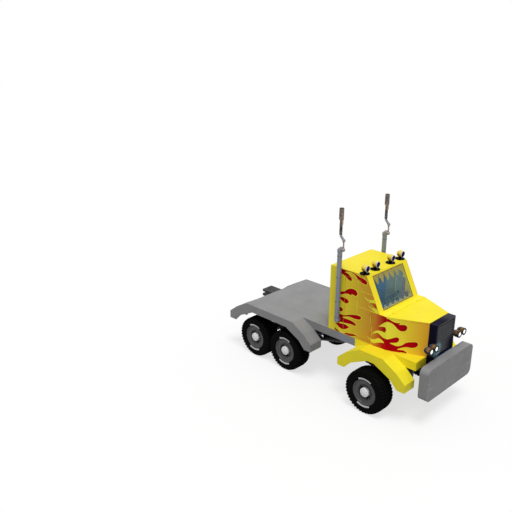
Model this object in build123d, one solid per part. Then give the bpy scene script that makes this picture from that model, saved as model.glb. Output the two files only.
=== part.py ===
from build123d import *
import os
from math import atan2, cos, hypot, radians, sin

os.makedirs("parts", exist_ok=True)

# Millimetres. Origin on the ground under the middle of the vehicle, +Z up, front towards -Y, right side -X.

# Wheels and axles
TYRE_R = 510.0
TYRE_W = 385.0
RIM_R = 296.0
FRONT_WHEEL_X = 1109.5
REAR_WHEEL_X = 931.5
FRONT_AXLE_Y = -1563.0
TANDEM_Y = 1460.0
TANDEM_SPACING = 1030.0
REAR_AXLE_YS = (TANDEM_Y - TANDEM_SPACING / 2, TANDEM_Y + TANDEM_SPACING / 2)
KINGPIN_X = 930.0
KINGPIN_R = 22.0
SPINDLE_R = 40.0
RUNNING_GAP = 0.05
DRUM_R = 205.0
DRUM_DEPTH = 110.0

# Chassis
RAIL_X = 430.0
RAIL_FLANGE = 75.0
RAIL_T = 8.0
RAIL_TOP = 1187.0
RAIL_H = 177.0
RAIL_FRONT_Y = -2600.0
CROSSMEMBER_YS = (-2250.0, -1650.0, -800.0, 250.0, TANDEM_Y, 2180.0)
CROSSMEMBER_W = 100.0

# Body platform
BODY_X = 762.0
DECK_TOP = 1380.0
SHEET_T = 6.0
CAB_REAR_Y = -100.0
BASE_SPLIT_Y = -874.0
BASE_FRONT_Y = -2450.0
DECK_REAR_Y = 2242.0

# Fenders
REAR_FENDER_X = 1150.0
FRONT_FENDER_X = 1127.0

# Cab
CAB_ROOF_Z = 2938.0
CAB_T = 45.0
ROOF_FRONT_Y = -1078.0
GLASS_BASE_Y = -1458.0
HOOD_TOP = 2165.0
GLASS_HALF_W = 576.0
GLASS_T = 12.0
FLOOR_T = 40.0
DOOR_REAR_Y = -520.0
DOOR_FRONT_Y = -1270.0
DOOR_TOP_Z = 2800.0
DOOR_GAP = 8.0
HINGE_PIN_R = 6.0
HINGE_SLEEVE_R = 10.0

# Hood and nose
HOOD_CREASE_Y = -1654.0
HOOD_FRONT_Y = -2459.0
NOSE_X = 377.0
HOOD_T = 30.0
GRILLE_FRONT_Y = -2635.0
BUMPER_FRONT_Y = -2849.0
BUMPER_DEPTH = 210.0
BUMPER_X = 916.0
BUMPER_Z = (642.0, 1392.0)
BUMPER_CORNER_R = 130.0
BUMPER_T = 8.0

# Stacks and lamps
STACK_X = BODY_X + 83.0
STACK_Y = -397.0
STACK_R = 54.0
STACK_BASE_Z = 1710.0
STACK_ELBOW_Z = 3370.0
STACK_TIP_Z = 4330.0
HEADLAMP_XS = (473.0, 670.0)
HEADLAMP_Y = -2731.0
HEADLAMP_Z = 1704.0
ROOF_LAMP_XS = (291.0, 673.0)
ROOF_LAMP_Y = -964.0
ROOF_LAMP_Z = 3064.0
ROOF_LAMP_R = 80.0

RAIL_BOTTOM = RAIL_TOP - RAIL_H
AXLE_Z = TYRE_R


def box(x0, x1, y0, y1, z0, z1):
    return Pos((x0 + x1) / 2, (y0 + y1) / 2, (z0 + z1) / 2) * Box(x1 - x0, y1 - y0, z1 - z0)


def side_prism(outline, x0, x1):
    """Outline of (y, z) points carried across the vehicle from x0 to x1."""
    face = make_face(Plane.YZ.offset(x0) * Polyline(*outline, close=True))
    return extrude(face, x1 - x0, dir=(1, 0, 0))


def plan_prism(outline, z0, z1):
    """Outline of (x, y) points carried up from z0 to z1."""
    face = make_face(Plane.XY.offset(z0) * Polyline(*outline, close=True))
    return extrude(face, z1 - z0, dir=(0, 0, 1))


def rod(start, end, radius):
    """Round bar between two points."""
    axis = Vector(*end) - Vector(*start)
    disc = Plane(origin=start, z_dir=axis) * Circle(radius)
    return extrude(disc, axis.length)


def turned(profile):
    """Profile of (outboard, radius) points turned about the axle line."""
    return revolve(make_face(Plane.XY * Polyline(*profile, close=True)), Axis.X)


def ball(centre, radius):
    return Pos(*centre) * Sphere(radius)


def mirrored(shape):
    return mirror(shape, about=Plane.YZ)


def inset(line, distance):
    """Open (y, z) polyline moved to its right-hand side by a distance, with mitred corners."""
    sides = []
    for (ay, az), (by, bz) in zip(line, line[1:]):
        length = hypot(by - ay, bz - az)
        sides.append(((by - ay) / length, (bz - az) / length))
    moved = []
    for i, (y, z) in enumerate(line):
        before, after = sides[max(i - 1, 0)], sides[min(i, len(sides) - 1)]
        ny, nz = before[1] + after[1], -(before[0] + after[0])
        scale = distance * 2 / (ny * ny + nz * nz)
        moved.append((y + ny * scale, z + nz * scale))
    return moved


def save(name, *shapes):
    solids = [solid for shape in shapes for solid in shape.solids()]
    export_step(solids[0] if len(solids) == 1 else Compound(solids), f"parts/{name}.step")


def tray(x0, x1, y0, y1, rib_ys=(), hole=None):
    """Flat pressed platform: top sheet, skirts all round, and ribs that stand on the rails."""
    shape = box(x0, x1, y0, y1, RAIL_TOP, DECK_TOP)
    shape -= box(x0 + SHEET_T, x1 - SHEET_T, y0 + SHEET_T, y1 - SHEET_T, RAIL_TOP, DECK_TOP - SHEET_T)
    for y in rib_ys:
        shape += box(x0 + SHEET_T, x1 - SHEET_T, y - SHEET_T, y + SHEET_T, RAIL_TOP, DECK_TOP - SHEET_T)
    if hole:
        hx, hy0, hy1 = hole
        shape += box(-hx - SHEET_T, hx + SHEET_T, hy0 - SHEET_T, hy1 + SHEET_T, RAIL_TOP,
                     DECK_TOP - SHEET_T)
        shape -= box(-hx, hx, hy0, hy1, RAIL_TOP - 1, DECK_TOP + 1)
    return shape


def fender(top_line, under_line, x_outer):
    """Pressed wheel-arch fender: folded top, deep skirts, open underneath."""
    outer = side_prism(top_line + under_line[-2:0:-1], BODY_X, x_outer)
    low = min(z for _, z in under_line) - 100
    inner = inset(top_line[1:-1], SHEET_T)
    first, last = top_line[0], top_line[-1]
    sign = 1 if last[0] > first[0] else -1
    cavity = [(first[0] + sign * SHEET_T, low)] + [(first[0] + sign * SHEET_T, inner[0][1])]
    cavity += inner[1:-1] + [(last[0] - sign * SHEET_T, inner[-1][1]), (last[0] - sign * SHEET_T, low)]
    return outer - side_prism(cavity, BODY_X + SHEET_T, x_outer - SHEET_T)


# Half arch outlines as offsets ahead of or behind a station: (distance, z), from the end upwards.
ARCH_TOP = [(583, 795), (583, 985), (357, 1180), (0, DECK_TOP)]
ARCH_UNDER = [(583, 795), (390, 795), (212, 979), (-210, RAIL_TOP)]


def arch_line(half, front_y, rear_y):
    """Whole arch line from front to rear; the flat runs from front_y to rear_y."""
    front = [(front_y - d, z) for d, z in half]
    rear = [(rear_y + d, z) for d, z in reversed(half)]
    return front + rear


# Chassis rails: C-channels with the open side inwards, and box crossmembers between their webs
def rail(side):
    shape = box(RAIL_X - RAIL_FLANGE, RAIL_X, RAIL_FRONT_Y, DECK_REAR_Y, RAIL_BOTTOM, RAIL_TOP)
    shape -= box(RAIL_X - RAIL_FLANGE - 1, RAIL_X - RAIL_T, RAIL_FRONT_Y - 1, DECK_REAR_Y + 1,
                 RAIL_BOTTOM + RAIL_T, RAIL_TOP - RAIL_T)
    return shape if side > 0 else mirrored(shape)


save("frame_rails", rail(1), rail(-1))

CROSS_Z = (RAIL_BOTTOM + 30, RAIL_TOP - 27)
web = RAIL_X - RAIL_T
crossmembers = []
for y in CROSSMEMBER_YS:
    member = box(-web, web, y - CROSSMEMBER_W / 2, y + CROSSMEMBER_W / 2, *CROSS_Z)
    member -= box(-web - 1, web + 1, y - CROSSMEMBER_W / 2 + RAIL_T, y + CROSSMEMBER_W / 2 - RAIL_T,
                  CROSS_Z[0] + RAIL_T, CROSS_Z[1] - RAIL_T)
    crossmembers.append(member)
save("crossmembers", *crossmembers)

# Platform
save("load_deck", tray(-BODY_X, BODY_X, CAB_REAR_Y, DECK_REAR_Y, (400, 900, 1400, 1850)))
save("cab_base", tray(-BODY_X, BODY_X, BASE_SPLIT_Y, CAB_REAR_Y, (-480,)))
ENGINE_X = 290.0
ENGINE_Y = (-2330.0, -1500.0)
GEARBOX_Y = -950.0
save("front_base", tray(-BODY_X, BODY_X, BASE_FRONT_Y, BASE_SPLIT_Y, (-1250,),
                        (ENGINE_X + 30, ENGINE_Y[0] - 30, ENGINE_Y[1] + 30)))

rear_top = arch_line(ARCH_TOP, 683, DECK_REAR_Y)
rear_top[-1] = (rear_top[-1][0] + 24, rear_top[-1][1])
rear_top[-2] = (rear_top[-2][0] + 24, rear_top[-2][1])
rear_under = arch_line(ARCH_UNDER, 683, DECK_REAR_Y)
rear_under[-1] = (rear_top[-1][0], rear_under[-1][1])
front_top = arch_line(ARCH_TOP, FRONT_AXLE_Y - 300, FRONT_AXLE_Y + 300)
front_under = arch_line(ARCH_UNDER, FRONT_AXLE_Y - 300, FRONT_AXLE_Y + 300)
for name, top_line, under_line, x_outer in (
    ("rear_fender", rear_top, rear_under, REAR_FENDER_X),
    ("front_fender", front_top, front_under, FRONT_FENDER_X),
):
    left = fender(top_line, under_line, x_outer)
    save(f"{name}_left", left)
    save(f"{name}_right", mirrored(left))

# Tow hitch: mounting plate on the rail ends and a jaw with a vertical pin hole
HITCH_X = 176.0
HITCH_Z = (RAIL_TOP, 1360.0)
HITCH_REAR_Y = 2644.0
JAW_GAP = 70.0
JAW_DEPTH = 210.0
PIN_HOLE_R = 22.0
HITCH_PLATE_T = 20.0
jaw_y = HITCH_REAR_Y - JAW_DEPTH / 2
jaw_z = sum(HITCH_Z) / 2
plate = box(-RAIL_X, RAIL_X, DECK_REAR_Y, DECK_REAR_Y + HITCH_PLATE_T, RAIL_BOTTOM, HITCH_Z[1])
head = box(-HITCH_X, HITCH_X, DECK_REAR_Y + HITCH_PLATE_T, HITCH_REAR_Y, *HITCH_Z)
head = fillet(head.edges().filter_by(Axis.Z).group_by(Axis.Y)[-1], 30)
head -= box(-HITCH_X - 1, HITCH_X + 1, HITCH_REAR_Y - JAW_DEPTH, HITCH_REAR_Y + 1, jaw_z - JAW_GAP / 2,
            jaw_z + JAW_GAP / 2)
head -= rod((0, jaw_y, HITCH_Z[0] - 1), (0, jaw_y, HITCH_Z[1] + 1), PIN_HOLE_R)
save("tow_hitch", plate + head)

# Bumper: rounded pan with two bracket arms bolted to the rail webs
bumper_w, bumper_h = 2 * BUMPER_X, BUMPER_Z[1] - BUMPER_Z[0]
bumper_mid = sum(BUMPER_Z) / 2
bumper_back = BUMPER_FRONT_Y + BUMPER_DEPTH
face = Plane((0, bumper_back, bumper_mid), x_dir=(1, 0, 0), z_dir=(0, -1, 0))
pan = extrude(face * RectangleRounded(bumper_w, bumper_h, BUMPER_CORNER_R), BUMPER_DEPTH)
pan -= extrude(face * RectangleRounded(bumper_w - 2 * BUMPER_T, bumper_h - 2 * BUMPER_T,
                                       BUMPER_CORNER_R - BUMPER_T), BUMPER_DEPTH - BUMPER_T)
for x in (-RAIL_X - 15, RAIL_X):
    pan += box(x, x + 15, BUMPER_FRONT_Y + BUMPER_T, RAIL_FRONT_Y + 160, RAIL_BOTTOM - 60, RAIL_TOP - 10)
save("bumper", pan)

# Grille: surround, centre bar and sloping slats in front of the radiator core
GRILLE_FRAME = 34.0
GRILLE_TOP = HOOD_TOP - 8
SLAT_PITCH = 58.0
grille = box(-NOSE_X, NOSE_X, GRILLE_FRONT_Y, HOOD_FRONT_Y, RAIL_TOP, GRILLE_TOP)
grille -= box(-NOSE_X + GRILLE_FRAME, NOSE_X - GRILLE_FRAME, GRILLE_FRONT_Y - 1, HOOD_FRONT_Y - 60,
              RAIL_TOP + 200, GRILLE_TOP - GRILLE_FRAME)
slat = [(GRILLE_FRONT_Y + 8, 0), (GRILLE_FRONT_Y + 60, 30), (GRILLE_FRONT_Y + 60, 40),
        (GRILLE_FRONT_Y + 8, 10)]
slat_z = RAIL_TOP + 215
while slat_z + 45 < GRILLE_TOP - GRILLE_FRAME:
    grille += side_prism([(y, z + slat_z) for y, z in slat], -NOSE_X + GRILLE_FRAME, NOSE_X - GRILLE_FRAME)
    slat_z += SLAT_PITCH
mid_z = (DECK_TOP + GRILLE_TOP) / 2
grille += box(-NOSE_X, NOSE_X, GRILLE_FRONT_Y, GRILLE_FRONT_Y + 70, mid_z - 12, mid_z + 12)
save("grille", grille)

# Hood: side panels and cowl top, with a lid hinged at the crease
LID_T = 30.0
LID_SEAT = 6.0
LID_HINGE_XS = (-480.0, 480.0)
lid_rear = HOOD_CREASE_Y - 6
hood_plan = [(-BODY_X, GLASS_BASE_Y), (BODY_X, GLASS_BASE_Y), (BODY_X, HOOD_CREASE_Y),
             (NOSE_X, HOOD_FRONT_Y), (-NOSE_X, HOOD_FRONT_Y), (-BODY_X, HOOD_CREASE_Y)]
taper = atan2(BODY_X - NOSE_X, HOOD_CREASE_Y - HOOD_FRONT_Y)
nip = HOOD_T / cos(taper)
inner_crease_x = BODY_X - HOOD_T
inner_crease_y = HOOD_CREASE_Y - (nip - HOOD_T) / (sin(taper) / cos(taper))
inner_front_x = inner_crease_x - (inner_crease_y - (HOOD_FRONT_Y + HOOD_T)) * sin(taper) / cos(taper)
hood_inside = [(-inner_crease_x, GLASS_BASE_Y + 1), (inner_crease_x, GLASS_BASE_Y + 1),
               (inner_crease_x, inner_crease_y), (inner_front_x, HOOD_FRONT_Y + HOOD_T),
               (-inner_front_x, HOOD_FRONT_Y + HOOD_T), (-inner_crease_x, inner_crease_y)]
shell = plan_prism(hood_plan, DECK_TOP, HOOD_TOP) - plan_prism(hood_inside, DECK_TOP - 1, HOOD_TOP - LID_T)
shell -= box(-BODY_X - 1, BODY_X + 1, HOOD_FRONT_Y - 1, HOOD_CREASE_Y, HOOD_TOP - LID_T - LID_SEAT,
             HOOD_TOP + 1)
shell -= box(-inner_front_x + 40, inner_front_x - 40, HOOD_FRONT_Y - 1, HOOD_FRONT_Y + HOOD_T + 1,
             DECK_TOP + 60, HOOD_TOP - LID_T - 80)
lid_half = BODY_X - (HOOD_CREASE_Y - lid_rear) * sin(taper) / cos(taper)
lid = plan_prism([(-lid_half, lid_rear), (lid_half, lid_rear), (NOSE_X, HOOD_FRONT_Y),
                  (-NOSE_X, HOOD_FRONT_Y)], HOOD_TOP - LID_T, HOOD_TOP)
hinge_y, hinge_z = HOOD_CREASE_Y - 3, HOOD_TOP + HINGE_SLEEVE_R + 2
for x in LID_HINGE_XS:
    shell += rod((x - 60, hinge_y, hinge_z), (x + 60, hinge_y, hinge_z), HINGE_PIN_R)
    for x0, x1 in ((x - 60, x - 41), (x + 41, x + 60)):
        shell += rod((x0, hinge_y, hinge_z), (x1, hinge_y, hinge_z), HINGE_SLEEVE_R)
        shell += box(x0, x1, hinge_y, hinge_y + 40, hinge_z - HINGE_SLEEVE_R - 2, hinge_z)
    leaf = box(x - 35, x + 35, hinge_y - 40, hinge_y, hinge_z - HINGE_SLEEVE_R - 2, hinge_z)
    leaf += rod((x - 40, hinge_y, hinge_z), (x + 40, hinge_y, hinge_z), HINGE_SLEEVE_R)
    lid += leaf - rod((x - 41, hinge_y, hinge_z), (x + 41, hinge_y, hinge_z), HINGE_PIN_R + RUNNING_GAP)
save("hood_shell", shell)
save("hood_lid", lid)

# Engine: one plain block with its gearbox, standing on two crossmembers
engine = box(-ENGINE_X, ENGINE_X, *ENGINE_Y, CROSS_Z[1], 1990)
engine += box(-190, 190, ENGINE_Y[1], GEARBOX_Y, RAIL_BOTTOM - 80, RAIL_TOP - 10)
save("engine_block", engine)

# Cab shell: hollow body with a raked windscreen opening and two doorways
slope = (ROOF_FRONT_Y - GLASS_BASE_Y) / (CAB_ROOF_Z - HOOD_TOP)


def glass_y(z, depth=0.0):
    """Station of the raked front plane at a height, moved inwards by a depth."""
    return GLASS_BASE_Y + (z - HOOD_TOP) * slope + depth * hypot(1, slope)


cab_outline = [(GLASS_BASE_Y, DECK_TOP), (CAB_REAR_Y, DECK_TOP), (CAB_REAR_Y, CAB_ROOF_Z),
               (ROOF_FRONT_Y, CAB_ROOF_Z), (GLASS_BASE_Y, HOOD_TOP)]
ceiling, floor = CAB_ROOF_Z - CAB_T, DECK_TOP + FLOOR_T
cabin = [(GLASS_BASE_Y + CAB_T, floor), (CAB_REAR_Y - CAB_T, floor), (CAB_REAR_Y - CAB_T, ceiling),
         (glass_y(ceiling, CAB_T), ceiling),
         (GLASS_BASE_Y + CAB_T, HOOD_TOP + (CAB_T - CAB_T * hypot(1, slope)) / slope)]
cab = side_prism(cab_outline, -BODY_X, BODY_X) - side_prism(cabin, -BODY_X + CAB_T, BODY_X - CAB_T)
SCREEN_Z = (HOOD_TOP + 25, ceiling - 4)


def screen(depth0, depth1, z0, z1, half_w):
    return side_prism([(glass_y(z0, depth0), z0), (glass_y(z1, depth0), z1), (glass_y(z1, depth1), z1),
                       (glass_y(z0, depth1), z0)], -half_w, half_w)


cab -= screen(-30, CAB_T + 60, *SCREEN_Z, GLASS_HALF_W)
sill, door_bend = floor + 12, HOOD_TOP + 60
front_top_y = glass_y(DOOR_TOP_Z, 190)


def door_outline(gap):
    """Door edge moved inwards by a gap; the front edge leans with the screen above the bend."""
    lean = (front_top_y - DOOR_FRONT_Y) / (DOOR_TOP_Z - door_bend)
    stretch = hypot(1, lean) * gap
    top = DOOR_TOP_Z - gap
    return [(DOOR_FRONT_Y + gap, sill + gap), (DOOR_REAR_Y - gap, sill + gap), (DOOR_REAR_Y - gap, top),
            (DOOR_FRONT_Y + (top - door_bend) * lean + stretch, top),
            (DOOR_FRONT_Y + gap, door_bend + (gap - stretch) / lean)]


DOOR_HINGE_ZS = (1640.0, 2120.0)
hinge_x, door_hinge_y = BODY_X + HINGE_SLEEVE_R + 2, DOOR_FRONT_Y + DOOR_GAP / 2
door = side_prism(door_outline(DOOR_GAP), BODY_X - CAB_T, BODY_X)
for side in (1, -1):
    cut = side_prism(door_outline(0), BODY_X - CAB_T - 1, BODY_X + 1)
    cab -= cut if side > 0 else mirrored(cut)
post = None
for z in DOOR_HINGE_ZS:
    pin = rod((hinge_x, door_hinge_y, z - 55), (hinge_x, door_hinge_y, z + 55), HINGE_PIN_R)
    for z0, z1 in ((z - 55, z - 36), (z + 36, z + 55)):
        pin += rod((hinge_x, door_hinge_y, z0), (hinge_x, door_hinge_y, z1), HINGE_SLEEVE_R)
        pin += box(BODY_X, hinge_x, door_hinge_y - 40, door_hinge_y, z0, z1)
    post = pin if post is None else post + pin
    leaf = box(BODY_X, hinge_x, door_hinge_y, door_hinge_y + 50, z - 30, z + 30)
    leaf += rod((hinge_x, door_hinge_y, z - 35), (hinge_x, door_hinge_y, z + 35), HINGE_SLEEVE_R)
    door += leaf - rod((hinge_x, door_hinge_y, z - 36), (hinge_x, door_hinge_y, z + 36),
                       HINGE_PIN_R + RUNNING_GAP)
save("cab_shell", cab + post + mirrored(post))
save("door_left", door)
save("door_right", mirrored(door))
save("windshield", screen(3, 3 + GLASS_T, SCREEN_Z[0] + 0.3, SCREEN_Z[1] - 0.3, GLASS_HALF_W - 0.3))

# Cab interior
dash_y = GLASS_BASE_Y + CAB_T
dash = side_prism([(dash_y, 1880), (dash_y + 200, 1900), (dash_y + 260, 2010), (dash_y + 190, 2090),
                   (dash_y, 2120)], -BODY_X + CAB_T, BODY_X - CAB_T)
save("dashboard", dash)
WHEEL_X, WHEEL_TILT = 360.0, 35.0
wheel_at = Vector(WHEEL_X, dash_y + 400, 2090)
wheel_plane = Plane(origin=wheel_at, x_dir=(1, 0, 0),
                    z_dir=(0, cos(radians(WHEEL_TILT)), sin(radians(WHEEL_TILT))))
steering = wheel_plane * Torus(215, 15)
steering += wheel_plane * Pos(0, 0, -14) * Cylinder(50, 30)
steering += wheel_plane * Box(425, 26, 12)
steering += wheel_plane * Pos(0, -105, 0) * Box(26, 205, 12)
column_end = wheel_at - wheel_plane.z_dir * 205
steering += rod(tuple(wheel_at), tuple(column_end), 28)
save("steering_wheel", steering - dash)
SEAT_XS = (-WHEEL_X, WHEEL_X)
SEAT_Z = 1640.0
save("seat_bases", *[box(x - 190, x + 190, -800, -420, floor, SEAT_Z) for x in SEAT_XS])
seat_profile = [(-880, SEAT_Z), (-380, SEAT_Z), (-250, 2440), (-365, 2450), (-455, SEAT_Z + 150),
                (-880, SEAT_Z + 130)]
headrest = [(-255, 2480), (-240, 2650), (-330, 2660), (-345, 2490)]
seats = []
for x in SEAT_XS:
    seat = side_prism(seat_profile, x - 235, x + 235) + side_prism(headrest, x - 130, x + 130)
    headrest_post = [(-310, 2430), (-290, 2500), (-300, 2500), (-320, 2430)]
    seats.append(seat + side_prism(headrest_post, x - 60, x + 60))
save("seats", *seats)

# Exhaust stacks: a stub from the cab side, the long pipe, and an offset link to the upper tube
LINK_Y = STACK_Y - 90
foot_at, elbow = (STACK_X, STACK_Y, STACK_BASE_Z), (STACK_X, STACK_Y, STACK_ELBOW_Z)
crown = (STACK_X, STACK_Y - 32, STACK_ELBOW_Z + 48)
joint_a, joint_b = (STACK_X, LINK_Y, STACK_ELBOW_Z + 36), (STACK_X, LINK_Y, 3622)
CROWN_R, LINK_R = 50.0, 17.0
TIP_SPLIT_Z, TIP_R, TIP_BORE_R = 3735.0, 33.0, 28.0
tip_base = (STACK_X, STACK_Y, TIP_SPLIT_Z - 15)
SHROUD_Z, SHROUD_R = 4080.0, 52.0


def upright(z0, z1, radius):
    """Round bar on the left stack's own line."""
    return rod((STACK_X, STACK_Y, z0), (STACK_X, STACK_Y, z1), radius)


stack = rod(foot_at, elbow, STACK_R) + ball(foot_at, STACK_R + 10) + ball(elbow, STACK_R + 10)
stack += rod((BODY_X, STACK_Y, STACK_BASE_Z), foot_at, 40)
stack += rod(elbow, crown, CROWN_R) + ball(crown, CROWN_R) + rod(crown, joint_a, 36)
stack += ball(joint_a, 42) + rod(joint_a, joint_b, LINK_R)
stack += ball(joint_b, 38) + rod(joint_b, tip_base, TIP_BORE_R)
stack -= upright(TIP_SPLIT_Z, TIP_SPLIT_Z + 60, SHROUD_R)
tube = upright(TIP_SPLIT_Z, STACK_TIP_Z - 40, TIP_R)
shroud = upright(SHROUD_Z, STACK_TIP_Z, SHROUD_R) - upright(SHROUD_Z + 15, STACK_TIP_Z + 1, SHROUD_R - 6)
tip = tube + shroud - upright(TIP_SPLIT_Z + 30, STACK_TIP_Z + 1, TIP_BORE_R)
save("exhaust_stacks", stack, mirrored(stack))
save("exhaust_tips", tip, mirrored(tip))

# Lamps
roof_lamps = []
for x in [side * x for side in (-1, 1) for x in ROOF_LAMP_XS]:
    foot = Pos(x, ROOF_LAMP_Y, CAB_ROOF_Z + 6) * Cylinder(110, 12)
    foot += rod((x, ROOF_LAMP_Y, CAB_ROOF_Z), (x, ROOF_LAMP_Y, ROOF_LAMP_Z), 28)
    bucket = ball((x, ROOF_LAMP_Y, ROOF_LAMP_Z), ROOF_LAMP_R)
    bucket -= box(x - 100, x + 100, ROOF_LAMP_Y - 100, ROOF_LAMP_Y - 45, ROOF_LAMP_Z - 100,
                  ROOF_LAMP_Z + 100)
    bucket += rod((x, ROOF_LAMP_Y - 70, ROOF_LAMP_Z), (x, ROOF_LAMP_Y - 40, ROOF_LAMP_Z), 70)
    roof_lamps.append(foot + bucket)
save("roof_lamps", *roof_lamps)
headlamps = []
pod = box(NOSE_X, HEADLAMP_XS[1] + 20, HEADLAMP_Y + 105, HEADLAMP_Y + 145, HEADLAMP_Z - 35, HEADLAMP_Z + 35)
for x in HEADLAMP_XS:
    pod += rod((x, HEADLAMP_Y, HEADLAMP_Z), (x, HEADLAMP_Y + 105, HEADLAMP_Z), 78)
    pod += ball((x, HEADLAMP_Y + 105, HEADLAMP_Z), 72)
    pod -= rod((x, HEADLAMP_Y - 1, HEADLAMP_Z), (x, HEADLAMP_Y + 14, HEADLAMP_Z), 66)
save("headlamps", pod, mirrored(pod))

# Front axle beam, its leaf springs and hangers, knuckles
EYE_R = 55.0
EYE_Z = (AXLE_Z - 74, AXLE_Z + 74)
ARM_GAP = 6.0
ARM_T = 30.0
SPRING_X = RAIL_X - 35
SPRING_SEAT = AXLE_Z + 65
beam = box(-KINGPIN_X + 70, KINGPIN_X - 70, FRONT_AXLE_Y - 45, FRONT_AXLE_Y + 45, AXLE_Z - 45, AXLE_Z + 45)
for y0, y1 in ((FRONT_AXLE_Y - 46, FRONT_AXLE_Y - 15), (FRONT_AXLE_Y + 15, FRONT_AXLE_Y + 46)):
    beam -= box(-KINGPIN_X + 160, KINGPIN_X - 160, y0, y1, AXLE_Z - 30, AXLE_Z + 30)
for side in (-1, 1):
    x = side * KINGPIN_X
    eye = rod((x, FRONT_AXLE_Y, EYE_Z[0]), (x, FRONT_AXLE_Y, EYE_Z[1]), EYE_R)
    eye += box(min(x, x - side * 100), max(x, x - side * 100), FRONT_AXLE_Y - 45, FRONT_AXLE_Y + 45,
               AXLE_Z - 45, AXLE_Z + 45)
    beam += eye
    beam += box(side * SPRING_X - 45, side * SPRING_X + 45, FRONT_AXLE_Y - 90, FRONT_AXLE_Y + 90,
                AXLE_Z + 40, SPRING_SEAT)
for side in (-1, 1):
    x = side * KINGPIN_X
    beam -= rod((x, FRONT_AXLE_Y, EYE_Z[0] - 1), (x, FRONT_AXLE_Y, EYE_Z[1] + 1), KINGPIN_R + RUNNING_GAP)
save("front_axle", beam)

arm_z = (EYE_Z[0] - ARM_GAP - ARM_T, EYE_Z[1] + ARM_GAP + ARM_T)
yoke_x = KINGPIN_X + EYE_R + 7
yoke = box(KINGPIN_X - 50, yoke_x + 30, FRONT_AXLE_Y - 60, FRONT_AXLE_Y + 60, *arm_z)
yoke -= box(KINGPIN_X - 51, yoke_x, FRONT_AXLE_Y - 61, FRONT_AXLE_Y + 61, EYE_Z[0] - ARM_GAP,
            EYE_Z[1] + ARM_GAP)
yoke += rod((KINGPIN_X, FRONT_AXLE_Y, arm_z[0]), (KINGPIN_X, FRONT_AXLE_Y, arm_z[1]), KINGPIN_R)
SPINDLE_REACH = 80.0
yoke += rod((yoke_x, FRONT_AXLE_Y, AXLE_Z), (FRONT_WHEEL_X + SPINDLE_REACH, FRONT_AXLE_Y, AXLE_Z),
            SPINDLE_R)
save("knuckle_left", yoke)
save("knuckle_right", mirrored(yoke))

# Rear axles: tube, differential housing and spindles
NOSE_REACH, NOSE_Z = 240.0, AXLE_Z + 20
axles = []
for y in REAR_AXLE_YS:
    plate_x, end_x = REAR_WHEEL_X - DRUM_DEPTH - 20, REAR_WHEEL_X + SPINDLE_REACH
    half = [(0, 175), (75, 175), (150, 120), (190, 65), (plate_x, 65), (plate_x, DRUM_R - 10)]
    half += [(plate_x + 12, DRUM_R - 10), (plate_x + 12, SPINDLE_R), (end_x, SPINDLE_R), (end_x, 0)]
    axle = Pos(0, y, AXLE_Z) * turned([(-x, r) for x, r in half[:0:-1]] + half[1:])
    axle += rod((0, y - NOSE_REACH, NOSE_Z), (0, y + (NOSE_REACH if y < TANDEM_Y else 0), NOSE_Z), 60)
    for side in (-1, 1):
        axle += box(side * SPRING_X - 45, side * SPRING_X + 45, y - 80, y + 80, AXLE_Z + 30, SPRING_SEAT)
    axles.append(axle)
save("rear_axles", *axles)


def leaf_pack(y0, y1, rise, thickness):
    """Bowed spring pack with its low point midway, as (y, z) points above the seat."""
    mid, half, steps = (y0 + y1) / 2, (y1 - y0) / 2, 8
    low = [(y0 + (y1 - y0) * i / steps,
            SPRING_SEAT + rise * ((2 * i / steps - 1) ** 2)) for i in range(steps + 1)]
    return low + [(y, z + thickness * (1 - 0.5 * abs(y - mid) / half)) for y, z in reversed(low)]


springs = []
for side in (-1, 1):
    x0, x1 = side * SPRING_X - 35, side * SPRING_X + 35
    y0, y1 = FRONT_AXLE_Y - 560, FRONT_AXLE_Y + 560
    pack = side_prism(leaf_pack(y0, y1, 120, 60), x0, x1)
    for y in (y0, y1):
        pack += side_prism([(y - 45, SPRING_SEAT + 105), (y + 45, SPRING_SEAT + 105),
                            (y + 80, RAIL_BOTTOM), (y - 80, RAIL_BOTTOM)], x0, x1)
    springs.append(pack)
    y0, y1 = REAR_AXLE_YS[0] - 70, REAR_AXLE_YS[1] + 70
    pack = side_prism([(y0, SPRING_SEAT), (y1, SPRING_SEAT), (y1, SPRING_SEAT + 30),
                       (TANDEM_Y + 200, SPRING_SEAT + 110), (TANDEM_Y - 200, SPRING_SEAT + 110),
                       (y0, SPRING_SEAT + 30)], x0, x1)
    pack += side_prism([(TANDEM_Y - 130, SPRING_SEAT + 105), (TANDEM_Y + 130, SPRING_SEAT + 105),
                        (TANDEM_Y + 240, RAIL_BOTTOM), (TANDEM_Y - 240, RAIL_BOTTOM)], x0, x1)
    springs.append(pack)
save("leaf_springs", *springs)

# Driveshafts from gearbox to the first axle and between the axles
SHAFT_R = 45.0
output_z = 985.0
run, drop = REAR_AXLE_YS[0] - NOSE_REACH - GEARBOX_Y, output_z - NOSE_Z
lead = SHAFT_R * drop / hypot(run, drop) + 0.3
save(
    "driveshafts",
    rod((0, GEARBOX_Y + lead, output_z), (0, REAR_AXLE_YS[0] - NOSE_REACH - lead, NOSE_Z), SHAFT_R),
    rod((0, REAR_AXLE_YS[0] + NOSE_REACH, NOSE_Z), (0, REAR_AXLE_YS[1] - NOSE_REACH, NOSE_Z), SHAFT_R),
)

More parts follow.
